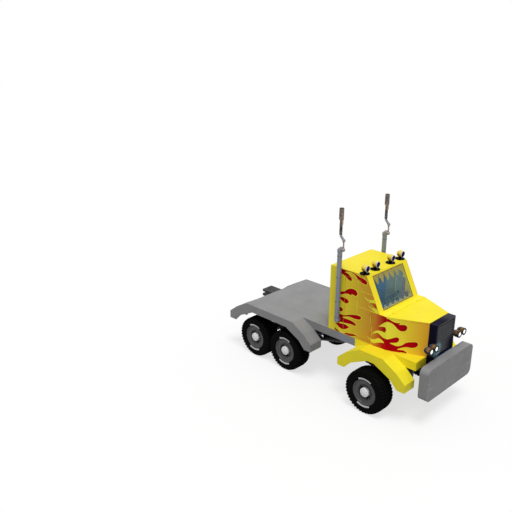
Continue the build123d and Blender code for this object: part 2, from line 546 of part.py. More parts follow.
# Wheels: profiles as (outboard distance from the wheel's middle, radius)
half_w = TYRE_W / 2
tyre_profile = [(-half_w + 14, RIM_R), (-half_w, RIM_R + 40), (-half_w, TYRE_R - 70),
                (-half_w + 10, TYRE_R - 22), (-half_w + 40, TYRE_R), (half_w - 40, TYRE_R),
                (half_w - 10, TYRE_R - 22), (half_w, TYRE_R - 70), (half_w, RIM_R + 40),
                (half_w - 14, RIM_R)]
hub_bore = SPINDLE_R + RUNNING_GAP
disc_u = half_w - 42
wheel_profile = [
    (-60, hub_bore), (SPINDLE_REACH + 8, hub_bore), (SPINDLE_REACH + 8, 0), (half_w - 6, 0),
    (half_w - 14, 88), (half_w - 34, 105),
    (disc_u - 36, 105), (disc_u - 50, 145), (disc_u, 145), (disc_u + 2, 262), (half_w - 10, 284),
    (half_w - 10, RIM_R),
    (-half_w + 10, RIM_R), (-half_w + 10, 274), (disc_u - 18, 270), (disc_u - 18, 165), (disc_u - 66, 145),
    (disc_u - 66, 110),
    (0, 110), (0, DRUM_R), (-DRUM_DEPTH, DRUM_R), (-DRUM_DEPTH, DRUM_R - 15), (-14, DRUM_R - 15),
    (-14, 80), (-60, 80),
]


tyre, wheel = turned(tyre_profile), turned(wheel_profile)
stations = [("front", FRONT_WHEEL_X, FRONT_AXLE_Y), ("mid", REAR_WHEEL_X, REAR_AXLE_YS[0]),
            ("rear", REAR_WHEEL_X, REAR_AXLE_YS[1])]
for name, x, y in stations:
    save(f"tyre_{name}_left", Pos(x, y, AXLE_Z) * tyre)
    save(f"wheel_{name}_left", Pos(x, y, AXLE_Z) * wheel)
    save(f"tyre_{name}_right", mirrored(Pos(x, y, AXLE_Z) * tyre))
    save(f"wheel_{name}_right", mirrored(Pos(x, y, AXLE_Z) * wheel))
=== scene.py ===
import math
from itertools import product

import bmesh
import bpy
from mathutils import Matrix, Vector
from mathutils.geometry import delaunay_2d_cdt


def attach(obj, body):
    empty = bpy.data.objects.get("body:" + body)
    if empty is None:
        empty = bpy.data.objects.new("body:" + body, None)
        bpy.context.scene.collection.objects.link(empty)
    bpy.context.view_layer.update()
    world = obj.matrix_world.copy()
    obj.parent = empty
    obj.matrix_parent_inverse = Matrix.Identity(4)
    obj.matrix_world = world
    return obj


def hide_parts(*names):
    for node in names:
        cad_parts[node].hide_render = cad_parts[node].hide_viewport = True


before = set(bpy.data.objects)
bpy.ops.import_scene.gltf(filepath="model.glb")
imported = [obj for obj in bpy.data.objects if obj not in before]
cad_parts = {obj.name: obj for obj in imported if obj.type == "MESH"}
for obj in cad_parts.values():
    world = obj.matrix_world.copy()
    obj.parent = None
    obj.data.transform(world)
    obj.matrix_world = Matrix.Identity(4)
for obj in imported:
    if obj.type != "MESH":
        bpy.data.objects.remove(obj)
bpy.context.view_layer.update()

# ---------------------------------------------------------------- tools for objects and nodes


def add(name, data, matrix=None):
    """New object in the scene."""
    obj = bpy.data.objects.new(name, data)
    bpy.context.collection.objects.link(obj)
    if matrix is not None:
        obj.matrix_world = matrix
    return obj


def linear(rgb):
    """Linear colour of an sRGB triple from 0 to 255."""
    return tuple(((c / 255 + 0.055) / 1.055) ** 2.4 if c > 10 else c / 255 / 12.92 for c in rgb) + (1,)


class Tree:
    """The nodes of a material or world, with short calls."""

    def __init__(self, owner):
        owner.use_nodes = True
        self.nodes, self.links = owner.node_tree.nodes, owner.node_tree.links

    def feed(self, socket, value):
        """Links a socket to another's output, or sets its value."""
        if isinstance(value, bpy.types.NodeSocket):
            self.links.new(value, socket)
        else:
            socket.default_value = value

    def node(self, kind, values, **settings):
        """New node. values are its inputs by name or number, and settings its own properties."""
        node = self.nodes.new("ShaderNode" + kind)
        for name, setting in settings.items():
            setattr(node, name, setting)
        for name, value in values.items():
            self.feed(node.inputs[name], value)
        return node

    def math(self, kind, *values):
        return self.node("Math", dict(enumerate(values)), operation=kind).outputs[0]

    def seen_rays(self):
        """1 for the rays that show the background: camera, glossy and transmission."""
        rays = self.node("LightPath", {}).outputs
        seen = self.math("MAXIMUM", rays["Is Camera Ray"], rays["Is Glossy Ray"])
        return self.math("MAXIMUM", seen, rays["Is Transmission Ray"])


class Paint(Tree):
    """A node material on a Principled shader, with short calls for the usual patterns."""

    def __init__(self, name, metal=0.0, specular=0.4, coat=0.0):
        self.mat = bpy.data.materials.new(name)
        super().__init__(self.mat)
        self.shader = self.nodes["Principled BSDF"]
        self.put("Metallic", metal)
        self.put("Specular IOR Level", specular)
        self.put("Coat Weight", coat)
        self.place = self.node("TexCoord", {}).outputs["Object"]

    def put(self, name, value):
        """Sets or links an input of the shader."""
        self.feed(self.shader.inputs[name], value)

    def times(self, first, *others):
        for other in others:
            first = self.math("MULTIPLY", first, other)
        return first

    def plus(self, a, b):
        return self.math("ADD", a, b)

    def minus(self, a, b):
        return self.math("SUBTRACT", a, b)

    def most(self, a, b):
        return self.math("MAXIMUM", a, b)

    def over(self, value, limit):
        return self.math("GREATER_THAN", value, limit)

    def under(self, value, limit):
        return self.math("LESS_THAN", value, limit)

    def size(self, value):
        return self.math("ABSOLUTE", value)

    def reach(self, a, b):
        """Length of the vector with these two parts."""
        return self.math("SQRT", self.plus(self.times(a, a), self.times(b, b)))

    def axes(self, names):
        outputs = self.node("SeparateXYZ", {0: self.place}).outputs
        return [outputs[name] for name in names]

    def spread(self, value, low, high, to=(0.0, 1.0), smooth=True):
        """The value, mapped from low and high to two others and held between them."""
        ends = {"Value": value, "From Min": low, "From Max": high, "To Min": to[0], "To Max": to[1]}
        kind = "SMOOTHSTEP" if smooth else "LINEAR"
        return self.node("MapRange", ends, interpolation_type=kind).outputs["Result"]

    def cloud(self, scale, detail=4.0, stretch=None):
        """Soft noise from 0 to 1."""
        place = self.place
        if stretch:
            place = self.node("Mapping", {"Vector": place, "Scale": stretch}).outputs[0]
        return self.node("TexNoise", {"Vector": place, "Scale": scale, "Detail": detail}).outputs["Fac"]

    def ramp(self, value, *stops):
        """Colour ramp of (position, sRGB) stops."""
        node = self.node("ValToRGB", {0: value})
        bar = node.color_ramp
        while len(bar.elements) < len(stops):
            bar.elements.new(0.5)
        for element, (at, rgb) in zip(bar.elements, stops):
            element.position = at
            element.color = linear(rgb)
        return node.outputs[0]

    def mix(self, factor, a, b):
        """Colour a where the factor is 0 and b where it is 1."""
        a, b = (linear(c) if isinstance(c, tuple) else c for c in (a, b))
        return self.node("Mix", {0: factor, 6: a, 7: b}, data_type="RGBA").outputs[2]

    def mottle(self, rgb, scale, amount, detail=4.0):
        """The colour, a little darker and lighter in clouds."""
        low, high = (tuple(max(0, min(255, c * (1 + sign * amount))) for c in rgb) for sign in (-1, 1))
        return self.ramp(self.cloud(scale, detail), (0.3, low), (0.7, high))

    def bump(self, height, strength, depth):
        node = self.node("Bump", {"Strength": strength, "Distance": depth, "Height": height})
        self.put("Normal", node.outputs[0])

    def done(self, colour, rough=None, grain=None):
        """The finished material.

        rough is (low, high, scale of its clouds); grain is (scale and detail of its clouds, strength, depth).
        """
        self.put("Base Color", colour)
        if rough:
            self.put("Roughness", self.spread(self.cloud(rough[2]), 0.35, 0.65, rough[:2]))
        if grain:
            self.bump(self.cloud(*grain[:2]), *grain[2:])
        return self.mat


# ---------------------------------------------------------------- camera, light and floor

CAMERA_AT = Vector((-11.554, -8.604, 8.068))
CAMERA_AIM = Vector((0.6620061, 0.6682342, -0.33942744))
SUN_AIM = Vector((0.18, 0.26, -0.95))
FLOOR_HALF = 80


def aimed(way):
    """Turn of a camera or lamp that looks along a vector."""
    return way.to_track_quat("-Z", "Y").to_euler()


def make_camera():
    """The photo's own view, from the front right and above."""
    data = bpy.data.cameras.new("camera")
    data.sensor_width = 36
    data.lens = 45.68
    data.clip_end = 500
    camera = add("camera", data)
    camera.location = CAMERA_AT
    camera.rotation_euler = aimed(CAMERA_AIM)
    bpy.context.scene.camera = camera


def make_lights():
    """A soft sun, and a white world that is dimmer as a light than it looks."""
    sun = bpy.data.lights.new("key", "SUN")
    sun.energy = 1.6
    sun.angle = math.radians(25)
    add("key", sun).rotation_euler = aimed(SUN_AIM)
    world = bpy.data.worlds.new("studio")
    bpy.context.scene.world = world
    tree = Tree(world)
    level = tree.node("MapRange", {"Value": tree.seen_rays(), "To Min": 0.5, "To Max": 1.0})
    back = tree.nodes["Background"].inputs
    tree.feed(back["Color"], (1, 1, 1, 1))
    tree.feed(back["Strength"], level.outputs["Result"])


def make_dome_light():
    """Light under the cab roof, so that the seats show through the glass."""
    lamp = bpy.data.lights.new("dome_light", "AREA")
    lamp.shape, lamp.size, lamp.size_y = "RECTANGLE", 1.0, 0.5
    lamp.energy, lamp.color = 7.0, (0.86, 0.95, 1.0)
    add("dome_light", lamp).location = (0, -0.66, 2.868)


def make_floor():
    """White ground that glows a little where it is seen, and is a plain grey to all other rays."""
    mesh = bpy.data.meshes.new("floor")
    corners = [(x * FLOOR_HALF, y * FLOOR_HALF, 0) for x, y in ((-1, -1), (1, -1), (1, 1), (-1, 1))]
    mesh.from_pydata(corners, [], [(0, 1, 2, 3)])
    mat = bpy.data.materials.new("floor")
    tree = Tree(mat)
    tree.nodes.clear()
    tones = ((0.86, 0.86, 0.86, 1), (0.42, 0.42, 0.42, 1))
    pale, dim = (tree.node("BsdfDiffuse", {"Color": tone}).outputs[0] for tone in tones)
    glow = tree.node("Emission", {"Strength": 1.1}).outputs[0]
    shown = tree.node("MixShader", {0: 0.62, 1: pale, 2: glow}).outputs[0]
    both = tree.node("MixShader", {0: tree.seen_rays(), 1: dim, 2: shown}).outputs[0]
    tree.node("OutputMaterial", {"Surface": both})
    mesh.materials.append(mat)
    add("floor", mesh)


# ---------------------------------------------------------------- materials

YELLOW = (253, 232, 44)
GREY = (144, 144, 145)
HOOD_CREASE_Y = -1.654
HOOD_FRONT_Y = -2.459
NOSE_X = 0.377
BODY_X = 0.762
BASE_TOP = 1.38
BUMPER_FACE_Y = -2.847
CAB_LENGTH = 2.5
AXLE_Z = 0.51
AXLE_Y = {"front": -1.563, "mid": 0.945, "rear": 1.975}
BODY_ROUGH = (0.38, 0.5, 5)
FLAME_ROUGH = (0.36, 0.46, 7)
BODY_GRAIN = (420, 2, 0.05, 0.0006)


def yellow_paint():
    """Body yellow, a little lighter on the front fenders as painted light."""
    p = Paint("yellow_paint", specular=0.1, coat=0.03)
    x, z = p.axes("XZ")
    # Painted light: the front fenders are painted a little lighter than the rest of the body.
    fender = p.times(p.over(p.size(x), 0.77), p.under(z, 1.36), 0.5)
    return p.done(p.mix(fender, p.mottle(YELLOW, 1.7, 0.018), (255, 244, 58)), BODY_ROUGH, BODY_GRAIN)


def cab_side_shade(p, along):
    """Painted shade of the cab side by its station, from yellow at the back to brown at the crease, and the
    station scaled to 0 to 1.
    """
    wander = p.math("MULTIPLY_ADD", p.minus(p.cloud(1.6, 2), 0.5), 0.12, along)
    stations = p.spread(wander, 0.0, CAB_LENGTH, smooth=False)
    return p.ramp(stations, (0.04, (252, 234, 56)), (0.2, (248, 226, 56)), (0.36, (228, 190, 48)),
                  (0.5, (218, 160, 50)), (0.575, (214, 124, 48)), (0.66, (206, 92, 42))), stations


def shaded_side_paint():
    """Body yellow whose side panels carry painted light and shade: they turn to brown towards the hood
    crease, and on the nose they are lighter by the crease and turn to orange at the front.
    """
    p = Paint("yellow_paint_side_shade", specular=0.1, coat=0.03)
    x, y, z = p.axes("XYZ")
    out, along = p.size(x), p.times(y, -1.0)
    # cab is the painted shade of the cab side; nose is painted light by the crease that turns to painted
    # shade towards the front.
    cab, stations = cab_side_shade(p, along)
    nose = p.ramp(stations, (-HOOD_CREASE_Y / CAB_LENGTH, (255, 250, 70)), (0.8, (250, 226, 58)),
                  (0.9, (246, 200, 50)), (0.985, (240, 172, 46)))
    ahead = p.spread(along, -HOOD_CREASE_Y - 0.001, -HOOD_CREASE_Y + 0.001)
    side = p.mix(ahead, cab, nose)
    for value, at in ((z, 2.172), (z, 2.55), (y, -0.874)):
        line = p.spread(p.size(p.minus(value, at)), 0.0048, 0.008, (1.0, 0.0))
        dashes = p.spread(p.cloud(11, 1), 0.42, 0.5, (0.25, 0.85))
        side = p.mix(p.times(line, dashes), side, (255, 232, 60))
    slant = p.plus(p.times(p.minus(out, BODY_X), 0.902), p.times(p.minus(y, HOOD_CREASE_Y), -0.4314))
    nose_side = p.times(p.spread(slant, -0.008, -0.004), ahead)
    behind_pillar = p.minus(1.0, p.spread(along, 1.458, 1.462))
    panel = p.times(p.most(p.spread(out, 0.752, 0.757), nose_side), p.most(p.under(z, 2.1635), behind_pillar),
                    p.over(z, BASE_TOP + 0.001), p.under(z, 2.9375))
    return p.done(p.mix(panel, p.mottle(YELLOW, 1.7, 0.018), side), BODY_ROUGH, BODY_GRAIN)


def flame_red():
    """Deep red that takes on the cab side's painted shade, its brown, a little behind the crease."""
    p = Paint("flame_red", specular=0.02)
    y, z = p.axes("YZ")
    along = p.times(y, -1.0)
    # The red takes on the cab side's painted shade behind the crease.
    cab, _ = cab_side_shade(p, along)
    above = p.over(z, 2.2)
    low_red = p.times(p.spread(along, 1.36, 1.66), p.minus(1.0, above))
    high_red = p.times(p.spread(along, 1.17, 1.40), above, 0.75)
    outside = p.most(p.under(along, 1.12), p.over(along, 1.66))
    red_share = p.most(p.plus(low_red, high_red), outside)
    return p.done(p.mix(red_share, cab, p.mottle((178, 0, 20), 6, 0.06)), FLAME_ROUGH, BODY_GRAIN)


def grey_paint():
    """Satin grey with pale scuffs, with painted bluish shade on the sill under the cab and painted shade on
    the bumper's face.
    """
    p = Paint("grey_paint", specular=0.25)
    y, z = p.axes("YZ")
    scuffs = p.spread(p.cloud(26, 6, (1, 0.18, 1)), 0.68, 0.8)
    worn = p.mix(p.times(scuffs, 0.2), p.mottle(GREY, 2.2, 0.03), (170, 170, 169))
    # Painted shade: the sill under the cab turns bluish and darker towards its front and foot.
    sill_painted_shade = p.times(p.spread(y, -0.1, -0.75), p.spread(z, 1.376, 1.28), p.over(y, -1.4), 0.6)
    tinted = p.mix(sill_painted_shade, worn, (122, 134, 178))
    # Painted shade: the bumper's face is darkened a little.
    colour = p.mix(p.times(p.under(y, BUMPER_FACE_Y), 0.15), tinted, (20, 20, 20))
    return p.done(colour, (0.48, 0.62, 9), (300, 3, 0.06, 0.0006))


def black_steel():
    """Black chassis paint with brown road dust."""
    p = Paint("black_steel", specular=0.35)
    dust = p.spread(p.cloud(14, 6), 0.6, 0.78)
    colour = p.mix(p.times(dust, 0.5), p.mottle((42, 42, 44), 5, 0.12), (70, 66, 60))
    return p.done(colour, (0.45, 0.68, 12), (160, 4, 0.25, 0.001))


def grille_black():
    """Charcoal panel with painted light and shade: lighter deep in its recesses against their shadow, painted
    navy shade at its right edge, foot and sides and on the right of its top, and a painted pale glow beside
    one lamp.
    """
    p = Paint("grille_black", specular=0.04)
    x, y, z = p.axes("XYZ")
    # Painted light: the panel is lighter deeper in, to offset the shadow in its recesses.
    panel = p.mix(p.spread(y, -2.632, -2.60), p.mottle((86, 87, 87), 7, 0.06), (92, 94, 95))
    # Painted navy shade at the right edge and the foot.
    foot = p.most(p.times(p.spread(x, -0.05, 0.33), p.spread(z, 1.80, 1.58)), p.spread(z, 1.50, 1.41))
    colour = p.mix(p.most(p.spread(x, -0.25, -0.365), foot), panel, (10, 11, 46))
    # Painted navy shade on the grille's sides.
    side = p.times(p.spread(y, -2.6335, -2.6315), p.spread(p.size(x), 0.3755, 0.3765))
    colour = p.mix(side, colour, (10, 9, 34))
    # Painted shade on the top: navy on the right, dark grey on the left.
    top = p.mix(p.spread(x, -0.1, 0.33), (9, 7, 34), (62, 64, 74))
    colour = p.mix(p.spread(z, 2.1485, 2.1555), colour, top)
    # Painted light: the pale glow beside one lamp.
    from_lamp = p.reach(p.plus(x, 0.265), p.minus(z, 1.58))
    glow = p.times(p.minus(1.0, p.spread(from_lamp, 0.02, 0.22)), p.under(y, -2.57), 0.9)
    return p.done(p.mix(glow, colour, (160, 208, 222)), (0.42, 0.6, 10), (260, 3, 0.2, 0.0008))


def glass():
    """Blue tinted pane. Light from the sun and sky passes it unweakened, so that the cab inside is lit."""
    p = Paint("glass", specular=0.2)
    p.put("Roughness", 0.05)
    shadow = p.node("LightPath", {}).outputs["Is Shadow Ray"]
    p.put("Alpha", p.times(p.spread(p.cloud(2.4, 2), 0.3, 0.7, (0.12, 0.24)), p.minus(1.0, shadow)))
    return p.done(p.mottle((96, 140, 170), 3, 0.05))


def visor_film():
    """Translucent olive film of the toothed strips on the windscreen."""
    p = Paint("visor_film")
    [z] = p.axes("Z")
    p.put("Roughness", 0.3)
    p.put("Alpha", p.spread(p.cloud(5, 2), 0.3, 0.7, (0.58, 0.72)))
    return p.done(p.mix(p.spread(z, 2.3, 2.6), (168, 168, 128), p.mottle((186, 168, 62), 6, 0.06)))


def seat_cloth():
    """Blue-grey woven cloth with lighter threads and soft sheen."""
    p = Paint("seat_fabric", specular=0.2)
    p.put("Sheen Weight", 0.25)
    p.put("Roughness", 0.85)
    threads = [p.node("TexWave", {"Scale": 95, "Distortion": 0.6, "Vector": p.place}, bands_direction=axis)
               for axis in "XZ"]
    weave = p.times(*(wave.outputs["Fac"] for wave in threads))
    p.bump(weave, 0.5, 0.0008)
    return p.done(p.mix(p.spread(weave, 0.15, 0.6), p.mottle((24, 84, 142), 12, 0.1), (62, 120, 168)))


def metal(name, rgb, metallic, rough):
    """Plain metal, brighter and duller in fine clouds."""
    p = Paint(name, metal=metallic, specular=0.5)
    low, high = (tuple(min(255, c * k) for c in rgb) for k in (0.92, 1.08))
    grain = p.cloud(60, 5)
    p.put("Roughness", p.spread(grain, 0.3, 0.7, rough))
    return p.done(p.ramp(grain, (0.3, low), (0.7, high)), None, (260, 3, 0.12, 0.0005))


def stack_steel():
    """Grey steel with brushed streaks up the pipe, warmer at the top joints, with painted bluish shade
    towards the foot.
    """
    p = Paint("stack_steel", metal=0.15)
    [z] = p.axes("Z")
    grain = p.cloud(70, 5, (1, 1, 0.05))
    steel = p.ramp(grain, (0.3, (122, 129, 139)), (0.7, (152, 158, 167)))
    heat = p.times(p.spread(z, 3.40, 3.44), p.spread(z, 3.66, 3.60), 0.75)
    worn = p.mix(heat, steel, (176, 150, 146))
    p.put("Roughness", p.spread(grain, 0.3, 0.7, (0.28, 0.42)))
    p.bump(grain, 0.1, 0.0005)
    # Painted bluish shade towards the foot of the pipe.
    return p.done(p.mix(p.times(p.spread(z, 3.0, 2.3), 0.28), worn, (104, 112, 156)))


def tip_steel():
    """Weathered grey steel, sooty low down, with tan rust patches."""
    p = Paint("tip_steel", metal=0.2, specular=0.35)
    [z] = p.axes("Z")
    grey = p.ramp(p.cloud(26, 8), (0.3, (84, 80, 78)), (0.5, (124, 118, 113)), (0.66, (150, 140, 134)))
    soot = p.times(p.spread(z, 4.06, 3.86), p.spread(p.cloud(19, 5), 0.36, 0.52), 0.9)
    rust = p.times(p.spread(p.cloud(13, 4), 0.6, 0.68), 0.85)
    colour = p.mix(rust, p.mix(soot, grey, (34, 31, 30)), (186, 150, 122))
    return p.done(colour, (0.5, 0.75, 30), (180, 6, 0.4, 0.001))


def tyre_rubber():
    """Black rubber, dusty brown in the tread grooves, with fine rings on the sidewall."""
    p = Paint("tyre", specular=0.03)
    y, z = p.axes("YZ")
    radius = p.reach(y, z)
    dust = p.times(p.spread(radius, 0.5005, 0.4985), p.spread(radius, 0.484, 0.492),
                   p.spread(p.cloud(18, 5), 0.4, 0.7), 0.4)
    rings = p.times(p.math("SINE", p.times(radius, 900.0)), p.spread(radius, 0.455, 0.45), 0.5)
    p.bump(p.plus(rings, p.cloud(300, 3)), 0.3, 0.0008)
    return p.done(p.mix(dust, p.mottle((15, 15, 15), 14, 0.15), (52, 40, 32)), (0.8, 0.95, 25))


def rim_grey(name, y_at):
    """Dark grey disc with a black middle ring and a pale hub cap, in rings about the axle."""
    p = Paint(name)
    y, z = p.axes("YZ")
    radius = p.reach(p.minus(y, y_at), p.minus(z, AXLE_Z))
    black = p.mix(p.spread(radius, 0.176, 0.198), (16, 16, 17), p.mottle((76, 76, 77), 10, 0.08))
    edge = p.mix(p.spread(radius, 0.268, 0.286), black, (66, 66, 68))
    colour = p.mix(p.spread(radius, 0.107, 0.109), (255, 255, 254), edge)
    return p.done(colour, (0.35, 0.55, 20), (200, 4, 0.12, 0.0006))


def roof_lamp_skin():
    """Black foot and post under a bucket painted with a reflection of the roof's yellow, dark low down as
    painted shade and pale at the top as a painted highlight.
    """
    p = Paint("roof_lamp_skin", specular=0.01)
    y, z = p.axes("YZ")
    # Painted reflection of the roof's yellow, with painted shade low down and a painted highlight at the top.
    level = p.plus(p.spread(z, 2.99, 3.15), p.times(p.minus(p.cloud(14, 3), 0.5), 0.3))
    chrome = p.ramp(level, (0.1, (96, 74, 20)), (0.4, (206, 174, 36)), (0.62, (236, 206, 56)),
                    (0.92, (246, 226, 110)))
    bucket = p.mix(p.spread(y, -0.908, -0.902), chrome, (20, 16, 22))
    return p.done(p.mix(p.spread(z, 2.984, 2.99), p.mottle((3, 2, 8), 10, 0.1), bucket), (0.35, 0.5, 12))


def headlamp_brass():
    """Aged brass with dark patches on the front of the lamps, and painted blue-black shade underneath and on
    their backs, a little lighter on top of the backs.
    """
    p = Paint("lamp_brass", metal=0.2, specular=0.15)
    y, z = p.axes("YZ")
    patches = p.times(p.minus(p.cloud(30, 4), 0.5), 0.09)
    brass = p.ramp(p.cloud(24, 5), (0.38, (52, 40, 26)), (0.48, (140, 100, 34)), (0.66, (168, 128, 52)))
    # Painted blue-black shade under the lamps.
    lamp = p.mix(p.spread(p.plus(z, patches), 1.70, 1.735), p.mottle((14, 18, 38), 10, 0.1), brass)
    # Painted shade on the lamps' backs, lighter on their tops.
    shade = p.mix(p.spread(z, 1.70, 1.76), (12, 12, 52), (62, 72, 100))
    return p.done(p.mix(p.spread(p.plus(y, patches), -2.655, -2.625), lamp, shade), (0.3, 0.5, 18))


def lamp_glass(name, rgb, glow=0.0):
    """Lens with fine moulded lines, which may glow in its own colour."""
    p = Paint(name, specular=0.02)
    p.put("Roughness", 0.4)
    p.put("Emission Color", linear(rgb))
    p.put("Emission Strength", glow)
    p.bump(p.node("TexWave", {"Scale": 55, "Vector": p.place}).outputs["Fac"], 0.25, 0.001)
    return p.done(p.mottle(rgb, 9, 0.06))


def mottled(name, tone, rough, grain, **shader):
    """Material of one mottled tone, given as the values of Paint.mottle."""
    p = Paint(name, **shader)
    return p.done(p.mottle(*tone), rough, grain)


def plastic(name, rgb, rough=(0.45, 0.6), grain=520):
    return mottled(name, (rgb, 6, 0.06), (*rough, 14), (grain, 3, 0.35, 0.0006))


def plain(name, rgb, rough=(0.5, 0.7), specular=0.3):
    return mottled(name, (rgb, 12, 0.06), (*rough, 18), (300, 3, 0.15, 0.0005), specular=specular)


MATS = {
    "yellow": yellow_paint(),
    "side_shade_yellow": shaded_side_paint(),
    "red": flame_red(),
    "lime": mottled("flame_lime", ((252, 246, 66), 5, 0.03), FLAME_ROUGH, BODY_GRAIN,
                    specular=0.1, coat=0.03),
    "grey": grey_paint(),
    "black": black_steel(),
    "iron": mottled("engine_iron", ((84, 86, 90), 9, 0.14, 6), (0.5, 0.75, 20), (240, 6, 0.45, 0.0015),
                    metal=0.35),
    "grille": grille_black(),
    "glass": glass(),
    "film": visor_film(),
    "dash": plastic("dash_plastic", (84, 58, 78)),
    "wheel_grip": plastic("wheel_grip", (26, 26, 30), (0.35, 0.5)),
    "cloth": seat_cloth(),
    "stack": stack_steel(),
    "tip": tip_steel(),
    "guard": metal("tip_guard", (196, 158, 128), 0.2, (0.4, 0.6)),
    "lining": plastic("cab_lining", (128, 138, 118), (0.7, 0.85), 90),
    "lining_blue": plastic("cab_blue_lining", (40, 92, 140), (0.7, 0.85), 90),
    "door_card": plastic("door_card", (138, 146, 118), (0.6, 0.8), 90),
    "door_mauve": plastic("door_mauve", (150, 128, 130), (0.6, 0.8), 90),
    "tyre": tyre_rubber(),
    "bars": plain("tyre_bars", (214, 214, 212)),
    "hub_white": plain("hub_white", (255, 255, 254), (0.25, 0.4), 0.6),
    "bolt": metal("bolt_steel", (122, 122, 124), 0.6, (0.3, 0.5)),
    "dark_bolt": metal("dark_bolt", (58, 58, 60), 0.5, (0.35, 0.55)),
    "roof_skin": roof_lamp_skin(),
    "brass": headlamp_brass(),
    "lens_teal": lamp_glass("lens_teal", (16, 96, 108)),
    "chrome": metal("lamp_chrome", (196, 198, 204), 0.7, (0.12, 0.25)),
    "lens_white": lamp_glass("lens_white", (255, 255, 255), 0.7),
    "lens_dark": lamp_glass("lens_dark", (22, 8, 84)),
    "lens_red": lamp_glass("lens_red", (150, 10, 10)),
    "rubber": plastic("black_rubber", (20, 20, 21), (0.6, 0.8)),
    **{f"rim_{place}": rim_grey(f"rim_grey_{place}", y_at) for place, y_at in AXLE_Y.items()},
}
SIDES = {"left": 1, "right": -1}
NODE_MATS = {
    "side_shade_yellow": ["cab_shell", "door_left", "door_right", "hood_shell", "hood_lid"],
    "yellow": ["front_base", "front_fender_left", "front_fender_right"],
    "grey": ["load_deck", "cab_base", "rear_fender_left", "rear_fender_right", "bumper"],
    "black": ["frame_rails", "crossmembers", "tow_hitch", "front_axle", "leaf_springs", "seat_bases",
              "knuckle_left", "knuckle_right"],
    "iron": ["engine_block", "rear_axles", "driveshafts"],
    "grille": ["grille"],
    "glass": ["windshield"],
    "dash": ["dashboard"],
    "wheel_grip": ["steering_wheel"],
    "cloth": ["seats"],
    "stack": ["exhaust_stacks"],
    "tip": ["exhaust_tips"],
    "roof_skin": ["roof_lamps"],
    "brass": ["headlamps"],
    "tyre": [f"tyre_{place}_{side}" for place in AXLE_Y for side in SIDES],
    **{f"rim_{place}": [f"wheel_{place}_{side}" for side in SIDES] for place in AXLE_Y},
}


def dress_nodes():
    """Gives each CAD node its material."""
    for mat, names in NODE_MATS.items():
        for name in names:
            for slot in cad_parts[name].material_slots:
                slot.material = MATS[mat]


# ---------------------------------------------------------------- mesh tools

UP = Vector((0, 0, 1))
AHEAD = Vector((0, -1, 0))
ASTERN = Vector((0, 1, 0))


def mesh_of(name, bm, mats, smooth=None):
    """Mesh from a bmesh. smooth is the angle in degrees under which edges are smooth."""
    bmesh.ops.recalc_face_normals(bm, faces=bm.faces)
    mesh = bpy.data.meshes.new(name)
    bm.to_mesh(mesh)
    bm.free()
    for mat in mats:
        mesh.materials.append(MATS[mat])
    if smooth is not None:
        mesh.shade_smooth()
        mesh.set_sharp_from_angle(angle=math.radians(smooth))
    return mesh


def put_in(name, mesh, matrix, body):
    """Object with a ready mesh that rides on a body."""
    obj = add(name, mesh, matrix)
    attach(obj, body)
    return obj


def piece(name, bm, mats, smooth=35, body="chassis"):
    """Object from a bmesh that rides on a body."""
    return put_in(name, mesh_of(name, bm, mats, smooth), None, body)


def frame_of(axis):
    """Two unit vectors square to an axis."""
    side = axis.orthogonal().normalized()
    return side, axis.cross(side)


def ring_of(count, lead=0.0):
    """Equal angles round a circle. lead is in steps."""
    return [2 * math.pi * (k + lead) / count for k in range(count)]


def circle(bm, middle, a, b, radius, steps):
    """Ring of vertices in the plane of two unit vectors."""
    return [bm.verts.new(middle + (a * math.cos(t) + b * math.sin(t)) * radius) for t in ring_of(steps)]


def pairs_of(rows, closed):
    """Pairs of neighbours in a list, with the last and first where it is closed."""
    return list(zip(rows, rows[1:])) + ([(rows[-1], rows[0])] if closed else [])


def skin(bm, rows, around, closed=False, mat=0, smooth=True):
    """Faces between neighbouring rows of vertices. around joins the ends of each row, closed the end rows."""
    for low, high in pairs_of(rows, closed):
        for (a, b), (d, c) in zip(pairs_of(low, around), pairs_of(high, around)):
            corners = list(dict.fromkeys((a, b, c, d)))
            if len(corners) > 2:
                face = bm.faces.new(corners)
                face.material_index, face.smooth = mat, smooth


def lathe(bm, profile, at, axis, steps, mat=0, closed=False, smooth=True):
    """Profile of (distance along the axis, radius) points turned about an axis through at."""
    at, axis = Vector(at), axis.normalized()
    rings = []
    for u, r in profile:
        middle = at + axis * u
        if r < 1e-6:
            rings.append([bm.verts.new(middle)] * steps)
        else:
            rings.append(circle(bm, middle, *frame_of(axis), r, steps))
    skin(bm, rings, True, closed, mat, smooth)


def knob(bm, at, axis, radius, height, steps, mat=0):
    """Low domed rivet or bolt head."""
    profile = [(0, radius), (height * 0.45, radius * 0.96), (height * 0.85, radius * 0.6), (height, 0)]
    lathe(bm, profile, at, axis, steps, mat)


def hex_nut(bm, at, axis, radius, height):
    """Six-sided nut on a round washer."""
    top = height * 0.2
    lathe(bm, [(0, radius * 1.25), (height * 0.18, radius * 1.22), (top, radius)], at, axis, 12)
    nut = [(top, radius), (height * 0.86, radius), (height, radius * 0.84), (height, 0)]
    lathe(bm, nut, at, axis, 6, smooth=False)


def collar(bm, at, axis, along, radius, half, lift, steps, mat=0):
    """Thin band about a pipe, at a distance along its axis."""
    edge = half - 0.001
    profile = [(along - half, radius), (along - edge, radius + lift), (along + edge, radius + lift),
               (along + half, radius)]
    lathe(bm, profile, at, axis, steps, mat)


def rod(bm, a, b, radius, steps, mat=0):
    """Round bar from a to b with chamfered ends."""
    a, b = Vector(a), Vector(b)
    length, c = (b - a).length, radius * 0.12
    profile = [(0, 0), (0, radius - c), (c, radius), (length - c, radius), (length, radius - c), (length, 0)]
    lathe(bm, profile, a, b - a, steps, mat)


